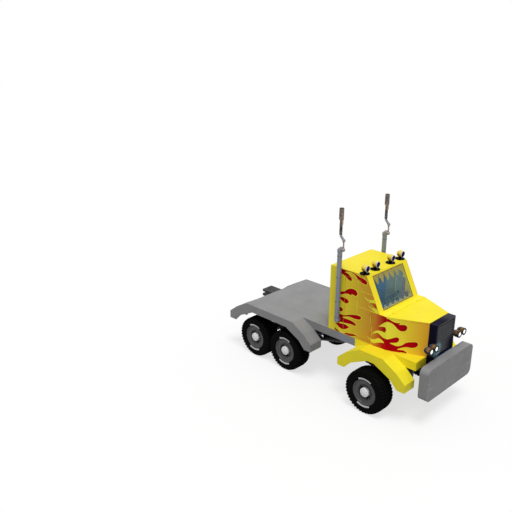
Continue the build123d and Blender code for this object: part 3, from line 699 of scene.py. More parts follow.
def slab(bm, low, high, mat=0, chamfer=0.004):
    """Box with chamfered edges."""
    low, high = Vector(low), Vector(high)
    size = high - low
    made = bmesh.ops.create_cube(bm, size=1)["verts"]
    bmesh.ops.scale(bm, vec=size, verts=made)
    edges = list(dict.fromkeys(e for v in made for e in v.link_edges))
    offset = min(chamfer, min(size) * 0.3)
    cut = bmesh.ops.bevel(bm, geom=edges, offset=offset, segments=2, affect="EDGES", profile=0.6)
    faces = {f for cut_face in cut["faces"] for v in cut_face.verts for f in v.link_faces}
    verts = list(dict.fromkeys(v for f in faces for v in f.verts))
    bmesh.ops.translate(bm, vec=(low + high) / 2, verts=verts)
    for f in faces:
        f.material_index = mat


def side_slab(bm, side, low, high, mat=0, chamfer=0.004):
    """Slab given on the left side of the truck, and mirrored where side is -1."""
    inner, outer = sorted((side * low[0], side * high[0]))
    slab(bm, (inner, *low[1:]), (outer, *high[1:]), mat, chamfer)


def sweep(bm, points, radius, mat=0, loop=False):
    """Round bar of eight sides along a line of points."""
    last = len(points) - 1
    rings, side = [], None
    for i, p in enumerate(points):
        before = points[i - 1] if loop or i else p
        after = points[(i + 1) % len(points)] if loop or i < last else p
        way = (after - before).normalized()
        side = frame_of(way)[0] if side is None else (side - way * side.dot(way)).normalized()
        rings.append(circle(bm, p, side, way.cross(side), radius, 8))
    skin(bm, rings, True, loop, mat)
    if not loop:
        for ring in (rings[0][::-1], rings[-1]):
            bm.faces.new(ring).material_index = mat


# ---------------------------------------------------------------- wheels

# Outline of the tyre as (radius, half width), with the raised ring below the shoulder.
SIDE_PROFILE = [(0.297, 0.177), (0.306, 0.184), (0.322, 0.1875), (0.35, 0.191), (0.395, 0.192),
                (0.43, 0.1902), (0.452, 0.1865), (0.454, 0.1878), (0.466, 0.1845), (0.468, 0.1825),
                (0.482, 0.176), (0.491, 0.169)]
CROWN_PROFILE = [(0.482, 0.165), (0.484, 0.1), (0.485, 0.0)]
LUGS = 40
# Each row of lugs: its ends across the tread, its lead in steps, its width round the tyre, the radii of its
# foot and top, its lean round the tyre and the drop of its outer end.
LUG_ROWS = [
    (0.118, 0.189, 0.0, 0.045, 0.474, 0.5093, 0.006, 0.014),
    (0.062, 0.110, 0.14, 0.046, 0.476, 0.5092, 0.012, 0.0),
    (0.005, 0.055, 0.26, 0.044, 0.477, 0.5092, 0.010, 0.0),
    (0.172, 0.1918, 0.0, 0.030, 0.448, 0.486, 0.0, 0.004),
]
BAR_INNER, BAR_OUTER, BAR_LIFT, BAR_SPREAD = 0.310, 0.348, 0.0012, math.radians(29)
WHEEL_X = {"front": 1.1095, "mid": 0.9315, "rear": 0.9315}
OUTBOARD, INBOARD = Vector((-1, 0, 0)), Vector((1, 0, 0))


def side_at(r):
    """Half width of the tyre at a radius."""
    for (r0, u0), (r1, u1) in zip(SIDE_PROFILE, SIDE_PROFILE[1:]):
        if r0 <= r <= r1:
            return u0 + (u1 - u0) * (r - r0) / (r1 - r0)


def wheel_point(u, r, angle):
    """Point in the wheel's own frame: u outboard, which is -X, and the angle from the top to the front."""
    return Vector((-u, -r * math.sin(angle), r * math.cos(angle)))


def tread_block(bm, u0, u1, angle, width, r0, r1, skew, drop):
    """One lug: a tapered block on the tread, its outer end lower by drop, leaning round by skew."""
    half = width / 2
    way = 1 if u0 < u1 else -1
    corners = []
    for r, shrink, fall in ((r0, 0.0, drop * 1.6), (r1, 0.0035, drop)):
        for u, end in ((u0, 0), (u1, 1)):
            across = u + way * (shrink if end == 0 else -shrink)
            for side in (-1, 1):
                turn = angle + ((2 * end - 1) * skew + side * (half - shrink)) / r1
                corners.append(bm.verts.new(wheel_point(across, r - fall * end, turn)))
    a, b, c, d, e, f, g, h = corners
    for face in ((e, f, h, g), (a, b, f, e), (c, g, h, d), (a, e, g, c), (b, d, h, f)):
        bm.faces.new(face)


def add_bar(bm, middle):
    """Plain pale arc on the outer sidewall."""
    steps = 24
    rows = []
    for i in range(steps + 1):
        angle = middle + BAR_SPREAD * (2 * i / steps - 1)
        ends = 0.004 if i in (0, steps) else 0.0
        inner, outer = BAR_INNER + ends, BAR_OUTER - ends
        edges = ((inner, 0.0), (inner + 0.002, BAR_LIFT), (outer - 0.002, BAR_LIFT), (outer, 0.0))
        rows.append([bm.verts.new(wheel_point(side_at(r) + lift, r, angle)) for r, lift in edges])
    skin(bm, rows, False, mat=1)


def tyre_mesh():
    """Tyre with four rows of lugs on each half of its tread, and two pale arcs."""
    bm = bmesh.new()
    outer = SIDE_PROFILE + CROWN_PROFILE
    profile = [(-u, r) for r, u in outer] + [(u, r) for r, u in outer[-2::-1]]
    lathe(bm, profile, (0, 0, 0), INBOARD, 120, closed=True)
    step = 2 * math.pi / LUGS
    for i in range(LUGS):
        for way in (1, -1):
            for u0, u1, lead, width, r0, r1, skew, drop in LUG_ROWS:
                tread_block(bm, way * u0, way * u1, (i + lead) * step, width, r0, r1, way * skew, drop)
    for middle in (0, math.pi):
        add_bar(bm, middle)
    return mesh_of("tyre_body", bm, ("tyre", "bars"), 35)


def trim_mesh():
    """Lug nuts, hub cap rings and valve of one wheel."""
    bm = bmesh.new()
    for angle in ring_of(10, 0.5):
        hex_nut(bm, wheel_point(0.15, 0.163, angle), OUTBOARD, 0.0165, 0.022)
    cap = [(0.1715, 0.1052), (0.1765, 0.1062), (0.1815, 0.104), (0.187, 0.094), (0.188, 0.084),
           (0.1887, 0.05), (0.1907, 0.047), (0.1917, 0.03), (0.1919, 0)]
    lathe(bm, cap, (0, 0, 0), OUTBOARD, 40, 1)
    for angle in ring_of(6):
        knob(bm, wheel_point(0.1877, 0.072, angle), OUTBOARD, 0.0055, 0.003, 10)
    rim_edge = [(0.1817, 0.286), (0.1847, 0.289), (0.1847, 0.2945), (0.1807, 0.2965)]
    lathe(bm, rim_edge, (0, 0, 0), OUTBOARD, 96, 2)
    valve = wheel_point(0.1515, 0.238, 0.6)
    rod(bm, valve, valve + OUTBOARD * 0.026, 0.005, 10)
    return mesh_of("wheel_trim", bm, ("dark_bolt", "hub_white", "rim_front"))


def make_wheels():
    """Six tyres with tread and six wheel trims, which share two meshes."""
    tyre, trim = tyre_mesh(), trim_mesh()
    for place, y_at in AXLE_Y.items():
        for word, side in SIDES.items():
            turn = Matrix.Rotation(math.pi, 4, "Z") if side > 0 else Matrix.Identity(4)
            matrix = Matrix.Translation((side * WHEEL_X[place], y_at, AXLE_Z)) @ turn
            wheel = f"{place}_{word}"
            tread = put_in(f"tyre_body_{wheel}", tyre, matrix, f"wheel_{wheel}")
            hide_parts(f"tyre_{wheel}")
            put_in(f"wheel_trim_{wheel}", trim, matrix, f"wheel_{wheel}")


# ---------------------------------------------------------------- flames

# Each flame: name, panel, colour and its outline in millimetres. On the side panel the points are (y, z);
# on the nose they are (distance ahead of the crease, z).
FLAMES = [
    ("A", "side", "red", [
        (-300, 2935), (-380, 2935), (-495, 2925), (-610, 2930), (-730, 2925), (-810, 2900), (-910, 2870),
        (-1010, 2855), (-1080, 2825), (-1105, 2785), (-1095, 2745), (-1040, 2740), (-950, 2760),
        (-865, 2800), (-800, 2860), (-745, 2895), (-665, 2915), (-565, 2905), (-490, 2870), (-570, 2865),
        (-640, 2825), (-685, 2785), (-700, 2745), (-685, 2715), (-640, 2710), (-575, 2740), (-505, 2785),
        (-435, 2810), (-385, 2815), (-310, 2800)]),
    ("B", "side", "red", [
        (-330, 2375), (-390, 2380), (-510, 2420), (-590, 2485), (-670, 2530), (-750, 2545), (-825, 2525),
        (-865, 2480), (-860, 2425), (-820, 2395), (-760, 2405), (-710, 2405), (-700, 2370), (-665, 2380),
        (-595, 2385), (-495, 2345), (-395, 2300), (-335, 2265)]),
    ("C", "side", "red", [
        (-335, 2250), (-400, 2255), (-500, 2265), (-585, 2255), (-640, 2220), (-640, 2185), (-600, 2150),
        (-540, 2145), (-470, 2170), (-390, 2210), (-340, 2210)]),
    ("D", "side", "red", [
        (-350, 1995), (-430, 2005), (-480, 1985), (-495, 1960), (-470, 1920), (-410, 1900), (-360, 1875)]),
    ("E", "side", "red", [
        (-340, 1850), (-440, 1835), (-540, 1845), (-675, 1900), (-805, 1940), (-920, 1960), (-990, 1950),
        (-1005, 1920), (-975, 1880), (-895, 1855), (-795, 1850), (-680, 1850), (-560, 1815), (-475, 1775),
        (-565, 1770), (-680, 1775), (-785, 1765), (-860, 1730), (-880, 1710), (-855, 1685), (-790, 1685),
        (-690, 1680), (-570, 1660), (-465, 1650), (-355, 1620)]),
    ("F", "side", "red", [
        (-295, 1560), (-375, 1600), (-470, 1610), (-570, 1625), (-660, 1600), (-685, 1590), (-645, 1550),
        (-560, 1500), (-475, 1485), (-395, 1510), (-330, 1550)]),
    ("G", "side", "red", [
        (-290, 1460), (-330, 1435), (-400, 1410), (-435, 1390), (-395, 1385), (-320, 1390), (-290, 1405)]),
    ("H", "side", "red", [
        (-550, 1395), (-670, 1440), (-785, 1465), (-880, 1465), (-890, 1450), (-825, 1415), (-725, 1390),
        (-620, 1390)]),
    ("R", "side", "red", [
        (-1185, 2355), (-1295, 2375), (-1350, 2375), (-1380, 2325), (-1395, 2280), (-1350, 2275),
        (-1285, 2295), (-1220, 2325)]),
    ("T1", "side", "lime", [
        (-1060, 2455), (-1135, 2425), (-1230, 2425), (-1320, 2455), (-1350, 2420), (-1295, 2380),
        (-1200, 2375), (-1120, 2395)]),
    ("T2", "side", "lime", [
        (-1160, 2285), (-1240, 2265), (-1340, 2255), (-1415, 2245), (-1445, 2195), (-1405, 2165),
        (-1345, 2185), (-1275, 2215), (-1220, 2245)]),
    ("T5", "side", "lime", [
        (-1195, 1550), (-1295, 1520), (-1390, 1550), (-1480, 1610), (-1560, 1600), (-1635, 1550),
        (-1550, 1525), (-1445, 1480), (-1365, 1445), (-1285, 1480)]),
    ("I", "side", "red", [
        (-1275, 2135), (-1405, 2160), (-1510, 2165), (-1655, 2155), (-1715, 2140), (-1720, 2065),
        (-1675, 2060), (-1615, 2025), (-1540, 1955), (-1455, 1875), (-1300, 1800)]),
    ("J", "side", "red", [
        (-1300, 1815), (-1475, 1880), (-1570, 1910), (-1630, 1915), (-1660, 1875), (-1650, 1820),
        (-1625, 1790), (-1580, 1800), (-1515, 1795), (-1435, 1775), (-1305, 1695)]),
    ("K", "side", "red", [
        (-1310, 1635), (-1390, 1690), (-1455, 1725), (-1535, 1690), (-1605, 1660), (-1695, 1660),
        (-1750, 1680), (-1775, 1410), (-1650, 1395), (-1530, 1395), (-1410, 1385), (-1330, 1380)]),
    ("T3", "side", "lime", [
        (-1455, 1875), (-1540, 1955), (-1615, 2025), (-1675, 2060), (-1675, 1970), (-1665, 1895),
        (-1630, 1915), (-1570, 1910)]),
    ("T4", "side", "lime", [
        (-1325, 1715), (-1385, 1745), (-1450, 1780), (-1555, 1795), (-1625, 1785), (-1680, 1865),
        (-1700, 1665), (-1655, 1660), (-1605, 1665), (-1535, 1700), (-1465, 1730), (-1385, 1705)]),
    ("I", "nose", "red", [
        (-100, 2185), (0, 2155), (80, 2110), (155, 2075), (235, 2065), (290, 2070), (265, 2030),
        (330, 2040), (395, 2040), (435, 2020), (445, 1985), (435, 1935), (405, 1905), (350, 1890),
        (300, 1895), (240, 1935), (185, 1990), (135, 2030), (85, 2050), (20, 2060), (-35, 2030),
        (-90, 1985)]),
    ("J", "nose", "red", [
        (-85, 1925), (-70, 1930), (-20, 1920), (5, 1875), (-5, 1820), (-25, 1800), (-65, 1815), (-80, 1820)]),
    ("K", "nose", "red", [
        (-70, 1695), (-45, 1675), (35, 1650), (110, 1670), (185, 1710), (255, 1730), (295, 1700),
        (290, 1650), (255, 1610), (190, 1590), (105, 1570), (175, 1540), (250, 1525), (325, 1540),
        (375, 1570), (435, 1630), (510, 1660), (605, 1680), (665, 1680), (695, 1650), (685, 1600),
        (645, 1560), (570, 1535), (495, 1535), (435, 1530), (370, 1505), (265, 1445), (345, 1445),
        (405, 1445), (450, 1425), (480, 1390), (390, 1390), (240, 1380), (110, 1385), (-5, 1395),
        (-50, 1410)]),
    ("T3", "nose", "lime", [
        (-90, 1985), (-35, 2030), (20, 2060), (15, 1965), (10, 1895), (-20, 1920), (-70, 1930), (-85, 1925)]),
    ("T4", "nose", "lime", [
        (-75, 1810), (-25, 1790), (25, 1860), (35, 1655), (0, 1660), (-45, 1680), (-70, 1700)]),
]
CREASE = Vector((BODY_X, HOOD_CREASE_Y))
NOSE_WAY = Vector((NOSE_X - BODY_X, HOOD_FRONT_Y - HOOD_CREASE_Y)).normalized()
PILLAR_SLOPE = 0.38 / 0.773
DOOR_GAP = 0.008
PANEL_FOOT = 1.383
COWL_Z = 2.163
# Front end, back end and top of each panel, in the outlines' own axes.
PANEL_ENDS = {"side": (HOOD_CREASE_Y + 0.0005, -0.102, 2.936), "nose": (0.0005, 0.889, 2.128)}


def smooth_outline(points):
    """Closed centripetal Catmull-Rom curve through points in millimetres. The result is in metres."""
    steps = 5
    points = [Vector(p) / 1000 for p in points]
    count, out = len(points), []
    for i in range(count):
        p = [points[(i + k) % count] for k in (-1, 0, 1, 2)]
        t = [0.0]
        for a, b in zip(p, p[1:]):
            t.append(t[-1] + math.sqrt((b - a).length))
        for s in range(steps):
            at = t[1] + (t[2] - t[1]) * s / steps
            a = [p[k].lerp(p[k + 1], (at - t[k]) / (t[k + 1] - t[k])) for k in range(3)]
            b = [a[k].lerp(a[k + 1], (at - t[k]) / (t[k + 2] - t[k])) for k in range(2)]
            out.append(b[0].lerp(b[1], (at - t[1]) / (t[2] - t[1])))
    return out


def door_outline(gap):
    """The doorway's edge in metres, moved inwards by a gap, as (y, z)."""
    lean = 0.335875 / 0.575
    stretch = math.hypot(1, lean) * gap
    front, back, foot, top, shoulder = -1.27 + gap, -0.52 - gap, 1.432 + gap, 2.8 - gap, 2.225
    return [(front, foot), (back, foot), (back, top), (-1.27 + (top - shoulder) * lean + stretch, top),
            (front, shoulder + (gap - stretch) / lean)]


def inside(point, outline):
    """True where the point is inside a convex outline."""
    px, py = point[:2]
    turns = [(bx - ax) * (py - ay) - (by - ay) * (px - ax) for (ax, ay), (bx, by) in pairs_of(outline, True)]
    return all(t > 0 for t in turns) or all(t < 0 for t in turns)


def flat_face(bm, outline):
    """Filled outline in the (x, y) plane of the bmesh."""
    points, _, faces, *_ = delaunay_2d_cdt(outline, [], [list(range(len(outline)))], 1, 1e-6)
    verts = [bm.verts.new((p.x, p.y, 0)) for p in points]
    for face in faces:
        bm.faces.new([verts[i] for i in face])


def band(bm, outline, inner, outer):
    """Strip that follows a closed outline from inner to outer, measured outwards."""
    area = sum(a.x * b.y - b.x * a.y for a, b in pairs_of(outline, True))
    sign = 1 if area > 0 else -1
    rows = []
    for i, p in enumerate(outline):
        way = (outline[(i + 1) % len(outline)] - outline[i - 1]).normalized()
        away = Vector((way.y, -way.x)) * sign
        rows.append([bm.verts.new((*(p + away * d), 0)) for d in (inner, outer)])
    skin(bm, rows, False, closed=True, smooth=False)


def cut_line(bm, a, b, drop=0):
    """Cuts the flat mesh along the line from a to b. drop 1 clears the side on the left, -1 the right."""
    a, b = Vector((*a, 0)), Vector((*b, 0))
    way = b - a
    across = Vector((-way.y, way.x, 0)).normalized()
    geom = bm.verts[:] + bm.edges[:] + bm.faces[:]
    bmesh.ops.bisect_plane(bm, geom=geom, dist=1e-6, plane_co=a, plane_no=across, clear_outer=drop == 1,
                           clear_inner=drop == -1)


def keep_faces(bm, test):
    """Deletes the faces whose middle fails the test."""
    gone = [f for f in bm.faces if not test(f.calc_center_median())]
    bmesh.ops.delete(bm, geom=gone, context="FACES")


def lay_on(flat, target, panel, side, lift):
    """Copies a flat mesh onto a body panel, on the side given by its sign, raised by lift."""
    made = {}
    for v in flat.verts:
        along, z = v.co.xy
        if panel == "side":
            at = (side * (BODY_X + lift), along, z)
        else:
            base = CREASE + NOSE_WAY * along + Vector((-NOSE_WAY.y, NOSE_WAY.x)) * lift
            at = (side * base.x, base.y, z)
        made[v] = target.verts.new(at)
    for f in flat.faces:
        target.faces.new([made[v] for v in f.verts])


def flame_sheet(panel, outline, halo):
    """Flat flame or its halo, trimmed to its panel."""
    bm = bmesh.new()
    if halo:
        band(bm, outline, -0.003, halo)
    else:
        flat_face(bm, outline)
    front, back, top = PANEL_ENDS[panel]
    cut_line(bm, (0, top), (1, top), 1)
    cut_line(bm, (0, PANEL_FOOT), (1, PANEL_FOOT), -1)
    cut_line(bm, (front, 0), (front, 1), 1)
    cut_line(bm, (back, 0), (back, 1), -1)
    if panel == "side":
        cut_line(bm, (0, COWL_Z), (1, COWL_Z))
        cut_line(bm, (-1.456, 2.165), (-1.076, 2.938))
        keep_faces(bm, lambda c: c.y < COWL_Z or c.x > -1.456 + (c.y - 2.165) * PILLAR_SLOPE)
    return bm


def split_at_door(sheet):
    """The sheet's part on the cab and its part on the door; what lies over the gap is left out."""
    for gap in (0.0, DOOR_GAP):
        for a, b in pairs_of(door_outline(gap), True):
            cut_line(sheet, a, b)
    door = sheet.copy()
    keep_faces(sheet, lambda c: not inside(c, door_outline(-0.0002)))
    keep_faces(door, lambda c: inside(c, door_outline(DOOR_GAP + 0.0002)))
    return sheet, door


def make_flames():
    """Flames on both sides of the cab, doors and nose, each red one over a lime halo."""
    groups = {}
    for rank, (name, panel, colour, points) in enumerate(FLAMES):
        outline = smooth_outline(points)
        lift = 0.0021 if name == "T5" else 0.0014 if colour == "red" else 0.0008
        layers = [(colour, 0.0, lift + 0.00002 * rank)]
        if colour == "red":
            layers.append(("lime", 0.013, 0.0005))
        for mat, halo, height in layers:
            sheet = flame_sheet(panel, outline, halo)
            on_cab, on_door = split_at_door(sheet) if panel == "side" else (sheet, None)
            for flat, ending in ((on_cab, ""), (on_door, "_door")):
                if flat is None:
                    continue
                for word, side in SIDES.items():
                    key = (f"flames_{mat}_{word}{ending}", mat, f"door_{word}" if ending else "chassis")
                    lay_on(flat, groups.setdefault(key, bmesh.new()), panel, side, height)
                flat.free()
    for (name, mat, body), bm in groups.items():
        face_outwards(piece(name, bm, [mat], None, body))


def face_outwards(obj):
    """Turns each face of a decal so that it looks away from the cab."""
    bm = bmesh.new()
    bm.from_mesh(obj.data)
    for f in bm.faces:
        if f.normal.x * f.calc_center_median().x < 0:
            f.normal_flip()
    bm.to_mesh(obj.data)
    bm.free()


# ---------------------------------------------------------------- windscreen

GLASS_BASE = Vector((0, -1.458, 2.165))
GLASS_UP = Vector((0, 0.38, 0.773)).normalized()
GLASS_OUT = Vector((0, -0.773, 0.38)).normalized()
FILM_BACK, FILM_FRONT = -0.003, -0.0022
TEETH = 6


def on_glass(x, rise, out):
    """Point on the raked front plane: x across, rise up the slope from the cowl, out in front of it."""
    return GLASS_BASE + GLASS_UP * rise + GLASS_OUT * out + Vector((x, 0, 0))


def film_tooth(bm, outline):
    """Thin plate with an outline of (x, rise) points."""
    walls = [[bm.verts.new(on_glass(x, rise, out)) for x, rise in outline] for out in (FILM_BACK, FILM_FRONT)]
    bm.faces.new(walls[1])
    bm.faces.new(walls[0][::-1])
    skin(bm, walls, True, smooth=False)


def make_windscreen():
    """Toothed film strips at the top and foot of the glass, and the gasket around it."""
    low, high, half = 0.032, 0.803, 0.572
    bm = bmesh.new()
    pitch = 2 * half / TEETH
    for i in range(TEETH):
        x0 = -half + i * pitch
        x1, mid = x0 + pitch, x0 + pitch / 2
        film_tooth(bm, [(x0, high), (x0 + 0.006, high - 0.045), (x0 + 0.06, high - 0.165), (mid, high - 0.22),
                        (x1 - 0.06, high - 0.165), (x1 - 0.006, high - 0.045), (x1, high)])
        film_tooth(bm, [(x0, low), (x1, low), (x1 - 0.01, low + 0.018), (mid, low + 0.1),
                        (x0 + 0.01, low + 0.018)])
    piece("windscreen_film", bm, ["film"], None)
    bm = bmesh.new()
    edge = [(-0.576, 0.0285), (0.576, 0.0285), (0.576, 0.806), (-0.576, 0.806)]
    corners = [on_glass(x, rise, -0.001) for x, rise in edge]
    line = [a.lerp(b, k / 12) for a, b in pairs_of(corners, True) for k in range(12)]
    sweep(bm, line, 0.0055, loop=True)
    piece("windscreen_gasket", bm, ["rubber"], 40)


# ---------------------------------------------------------------- lamps


def make_roof_lamps():
    """Rims, lenses, side knobs and foot bolts of the four roof lamps."""
    bm = bmesh.new()
    rim = [(-0.012, 0.0705), (0.004, 0.073), (0.007, 0.071), (0.007, 0.066), (0.002, 0.064), (-0.004, 0.0635)]
    lens = [(0.001, 0.0645), (0.006, 0.05), (0.0095, 0.028), (0.0105, 0)]
    for x in (-0.673, -0.291, 0.291, 0.673):
        front, middle = Vector((x, -1.034, 3.064)), Vector((x, -0.964, 3.064))
        lathe(bm, rim, front, AHEAD, 40)
        lathe(bm, lens, front, AHEAD, 40, 1)
        for way in (INBOARD, OUTBOARD):
            rod(bm, middle + way * 0.076, middle + way * 0.088, 0.011, 12, 2)
        for t in ring_of(6):
            foot = (x + 0.09 * math.cos(t), middle.y + 0.09 * math.sin(t), 2.9495)
            knob(bm, foot, UP, 0.009, 0.006, 8, 2)
    piece("roof_lamp_lenses", bm, ["chrome", "lens_dark", "dark_bolt"])


def make_headlamps():
    """Rims, glowing lenses, clamp rings and bracket bolts of the four headlamps."""
    bm = bmesh.new()
    rim = [(-0.02, 0.0785), (0.001, 0.0795), (0.005, 0.077), (0.005, 0.069), (-0.002, 0.0655),
           (-0.012, 0.0655)]
    lens_edge = [(-0.0125, 0.066), (-0.007, 0.056), (-0.0045, 0.046)]
    lens = [(-0.0045, 0.046), (-0.001, 0.03), (0.001, 0)]
    for side, x in product((-1, 1), (0.473, 0.670)):
        at = (side * x, -2.731, 1.704)
        for profile, mat in ((rim, 0), (lens_edge, 4), (lens, 1)):
            lathe(bm, profile, at, AHEAD, 40, mat)
        for back in (0.040, 0.080):
            collar(bm, at, AHEAD, -back, 0.078, 0.005, 0.0025, 40, 3)
    for side, x in product((-1, 1), (0.43, 0.56, 0.675)):
        knob(bm, (side * x, -2.606, 1.704), AHEAD, 0.011, 0.008, 10, 3)
    piece("headlamp_rings", bm, ["rubber", "lens_white", "brass", "dark_bolt", "lens_teal"])


def make_tail_lamps():
    """Two round red lamps in rubber rims on each side of the deck's rear edge."""
    bm = bmesh.new()
    rim = [(-0.002, 0.05), (0.010, 0.05), (0.014, 0.046), (0.014, 0.041), (0.009, 0.039)]
    lens = [(0.009, 0.040), (0.015, 0.032), (0.019, 0.018), (0.020, 0)]
    for side, x, (mat, profile) in product((1, -1), (0.48, 0.60), enumerate((rim, lens))):
        lathe(bm, profile, (side * x, 2.242, 1.285), ASTERN, 36, mat)
    piece("tail_lamps", bm, ["rubber", "lens_red"])


# ---------------------------------------------------------------- exhausts

STACK_X, STACK_Y, LINK_Y = 0.845, -0.397, -0.487
TIP_R = 0.0329


def half_shell(bm, at, middle, spread, inner, outer, z0, z1):
    """Upright piece of a tube wall, open on one side."""
    columns = []
    for k in range(13):
        turn = middle + spread * (k / 12 - 0.5)
        way = Vector((math.cos(turn), math.sin(turn), 0))
        section = ((inner, z0), (outer, z0), (outer, z1), (inner, z1))
        columns.append([bm.verts.new(at + way * r + UP * z) for r, z in section])
    skin(bm, columns, True)
    bm.faces.new(columns[0][::-1])
    bm.faces.new(columns[-1])


def make_exhaust_detail():
    """Clamps on the stacks and their tips, rust guards, and rows of dark holes in the tips."""
    bands, guards, holes = bmesh.new(), bmesh.new(), bmesh.new()
    for side in (-1, 1):
        stack, link = (Vector((side * STACK_X, y, 0)) for y in (STACK_Y, LINK_Y))
        for z in (1.79, 2.165, 2.75, 3.25):
            collar(bands, stack, UP, z, 0.0545, 0.009, 0.0035, 32)
            ear = stack + Vector((side * 0.056, 0.012, z))
            rod(bands, ear, ear + Vector((side * 0.014, 0, 0)), 0.007, 8, 1)
        for z in (3.452, 3.574):
            collar(bands, link, UP, z, 0.0168, 0.005, 0.0035, 32)
        for z in (3.80, 4.068):
            collar(bands, stack, UP, z, 0.0328, 0.006, 0.0035, 32)
        half_shell(guards, stack, math.radians(-55), math.radians(130), 0.0335, 0.047, 3.965, 4.078)
        for radius, z0, rows, count in ((TIP_R, 3.82, 8, 10), (0.0519, 4.11, 7, 14)):
            for row in range(rows):
                for turn in ring_of(count, row % 2 / 2):
                    way = Vector((math.cos(turn), math.sin(turn), 0))
                    at = stack + UP * (z0 + row * 0.017 * radius / TIP_R) + way * radius
                    lathe(holes, [(0, 0.006), (0.0006, 0.0055), (0.0006, 0)], at, way, 8)
    piece("exhaust_clamps", bands, ["bolt", "dark_bolt"])
    piece("tip_guards", guards, ["guard"], 40)
    piece("tip_perforations", holes, ["rubber"], None)


# ---------------------------------------------------------------- seats

SEAT_X = 0.36
RIDGE_X = 0.155
STITCH_DEPTH = 0.007


def apply_modifiers(obj):
    """Makes the object's mesh what its modifiers show now."""
    bpy.context.view_layer.update()
    result = obj.evaluated_get(bpy.context.evaluated_depsgraph_get())
    mesh = bpy.data.meshes.new_from_object(result)
    obj.modifiers.clear()
    obj.data = mesh


def swell(obj, voxel, cap):
    """Inflates a closed form as cloth. No point moves further than the cap."""
    remesh = obj.modifiers.new("Remesh", "REMESH")
    remesh.mode = "VOXEL"
    remesh.voxel_size = voxel
    apply_modifiers(obj)
    start = [v.co.copy() for v in obj.data.vertices]
    cloth = obj.modifiers.new("Cloth", "CLOTH")
    cloth.settings.use_pressure = True
    cloth.settings.uniform_pressure_force = 4.0
    cloth.settings.effector_weights.gravity = 0.0
    cloth.point_cache.frame_start = 1
    cloth.point_cache.frame_end = 20
    for step in range(1, 21):
        bpy.context.scene.frame_set(step)
    apply_modifiers(obj)
    bpy.context.scene.frame_set(1)
    for v, old in zip(obj.data.vertices, start):
        move = v.co - old
        if move.length > cap:
            v.co = old + move * (cap / move.length)
    obj.modifiers.new("Smooth", "SUBSURF").levels = 1
    apply_modifiers(obj)


def make_pad(size, voxel, cap, seams, floor):
    """Cushion about its own middle: a rounded block, swollen, then sewn along its seams."""
    bm = bmesh.new()
    slab(bm, [-s / 2 for s in size], [s / 2 for s in size], 0, min(size) * 0.3)
    pad = add("pad_model", mesh_of("pad_model", bm, []))
    swell(pad, voxel, cap)
    normals = [v.normal.copy() for v in pad.data.vertices]
    for v, normal in zip(pad.data.vertices, normals):
        near = min(seam(v.co) for seam in seams)
        v.co -= normal * STITCH_DEPTH * math.exp(-(near / STITCH_DEPTH) ** 2)
        if floor is not None:
            v.co.z = max(v.co.z, floor)
    pad.data.materials.clear()
    pad.data.materials.append(MATS["cloth"])
    pad.data.shade_smooth()
    return pad


def rounded(wave, half):
    """Coordinate of a rounded square a quarter larger than the given half width."""
    return math.copysign(abs(wave) ** 0.4, wave) * half * 1.25


def piping(pad, up, half_x, half_up):
    """Mesh of a welt laid round a pad, in the plane of x and the given axis."""
    points = []
    for turn in ring_of(80):
        out = Vector((rounded(math.cos(turn), half_x), 0, 0))
        out[up] = rounded(math.sin(turn), half_up)
        points.append(pad.closest_point_on_mesh(out)[1])
    bm = bmesh.new()
    sweep(bm, points, 0.0045, loop=True)
    return mesh_of("piping", bm, ["rubber"])


def seams_of(up, places):
    """Two seams along the pad and short ones across its middle panel, as distances from a point."""
    along = [lambda p, x=x: abs(p.x - x) for x in (-RIDGE_X, RIDGE_X)]
    short = [lambda p, at=at: max(abs(p[up] - at), abs(p.x) - RIDGE_X) for at in places]
    return along + short


# Each part of a seat: its size, the remesh voxel, the most it swells, the axis along it, its middle, its
# lean, its seams and the level under which it stays flat.
SEAT_PARTS = {
    "cushion": dict(size=(0.435, 0.455, 0.112), voxel=0.011, cap=0.022, up=1, at=(0, -0.635, 1.708), lean=0,
                    seams=seams_of(1, (-0.13, 0.0, 0.13)), floor=-0.058),
    "backrest": dict(size=(0.43, 0.078, 0.645), voxel=0.011, cap=0.02, up=2, at=(0, -0.357, 2.118), lean=0.15,
                     seams=seams_of(2, (-0.2, -0.07, 0.06, 0.19)), floor=None),
    "headrest": dict(size=(0.225, 0.064, 0.145), voxel=0.008, cap=0.013, up=2, at=(0, -0.293, 2.570),
                     lean=0.08, seams=[lambda p: abs(p.z)], floor=None),
}


def make_seats():
    """Two seats of three pads each, in place of the plain solids, on frames with hinges."""
    for part, plan in SEAT_PARTS.items():
        size, up = plan["size"], plan["up"]
        model = make_pad(size, plan["voxel"], plan["cap"], plan["seams"], plan["floor"])
        welt = piping(model, up, size[0] / 2, size[up] / 2)
        for word, side in SIDES.items():
            place = Matrix.Translation(Vector(plan["at"]) + Vector((side * SEAT_X, 0, 0)))
            place = place @ Matrix.Rotation(-plan["lean"], 4, "X")
            pad = put_in(f"seat_{part}_{word}", model.data, place, "chassis")
            put_in(f"seat_{part}_piping_{word}", welt, place, "chassis")
            if part == "cushion" and side > 0:
                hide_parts("seats")
        bpy.data.objects.remove(model)
    bm = bmesh.new()
    for side in (1, -1):
        x = side * SEAT_X
        slab(bm, (x - 0.225, -0.865, 1.641), (x + 0.225, -0.40, 1.653))
        for dx in (-0.06, 0.06):
            rod(bm, (x + dx, -0.318, 2.43), (x + dx, -0.30, 2.51), 0.006, 12, 1)
        for dx, knob_x, way in ((-0.228, -0.228, -1), (0.215, 0.228, 1)):
            slab(bm, (x + dx, -0.47, 1.65), (x + dx + 0.013, -0.36, 1.80))
            knob(bm, (x + knob_x, -0.41, 1.72), Vector((way, 0, 0)), 0.022, 0.008, 16)
    piece("seat_frames", bm, ["rubber", "chrome"])


# ---------------------------------------------------------------- cab trim

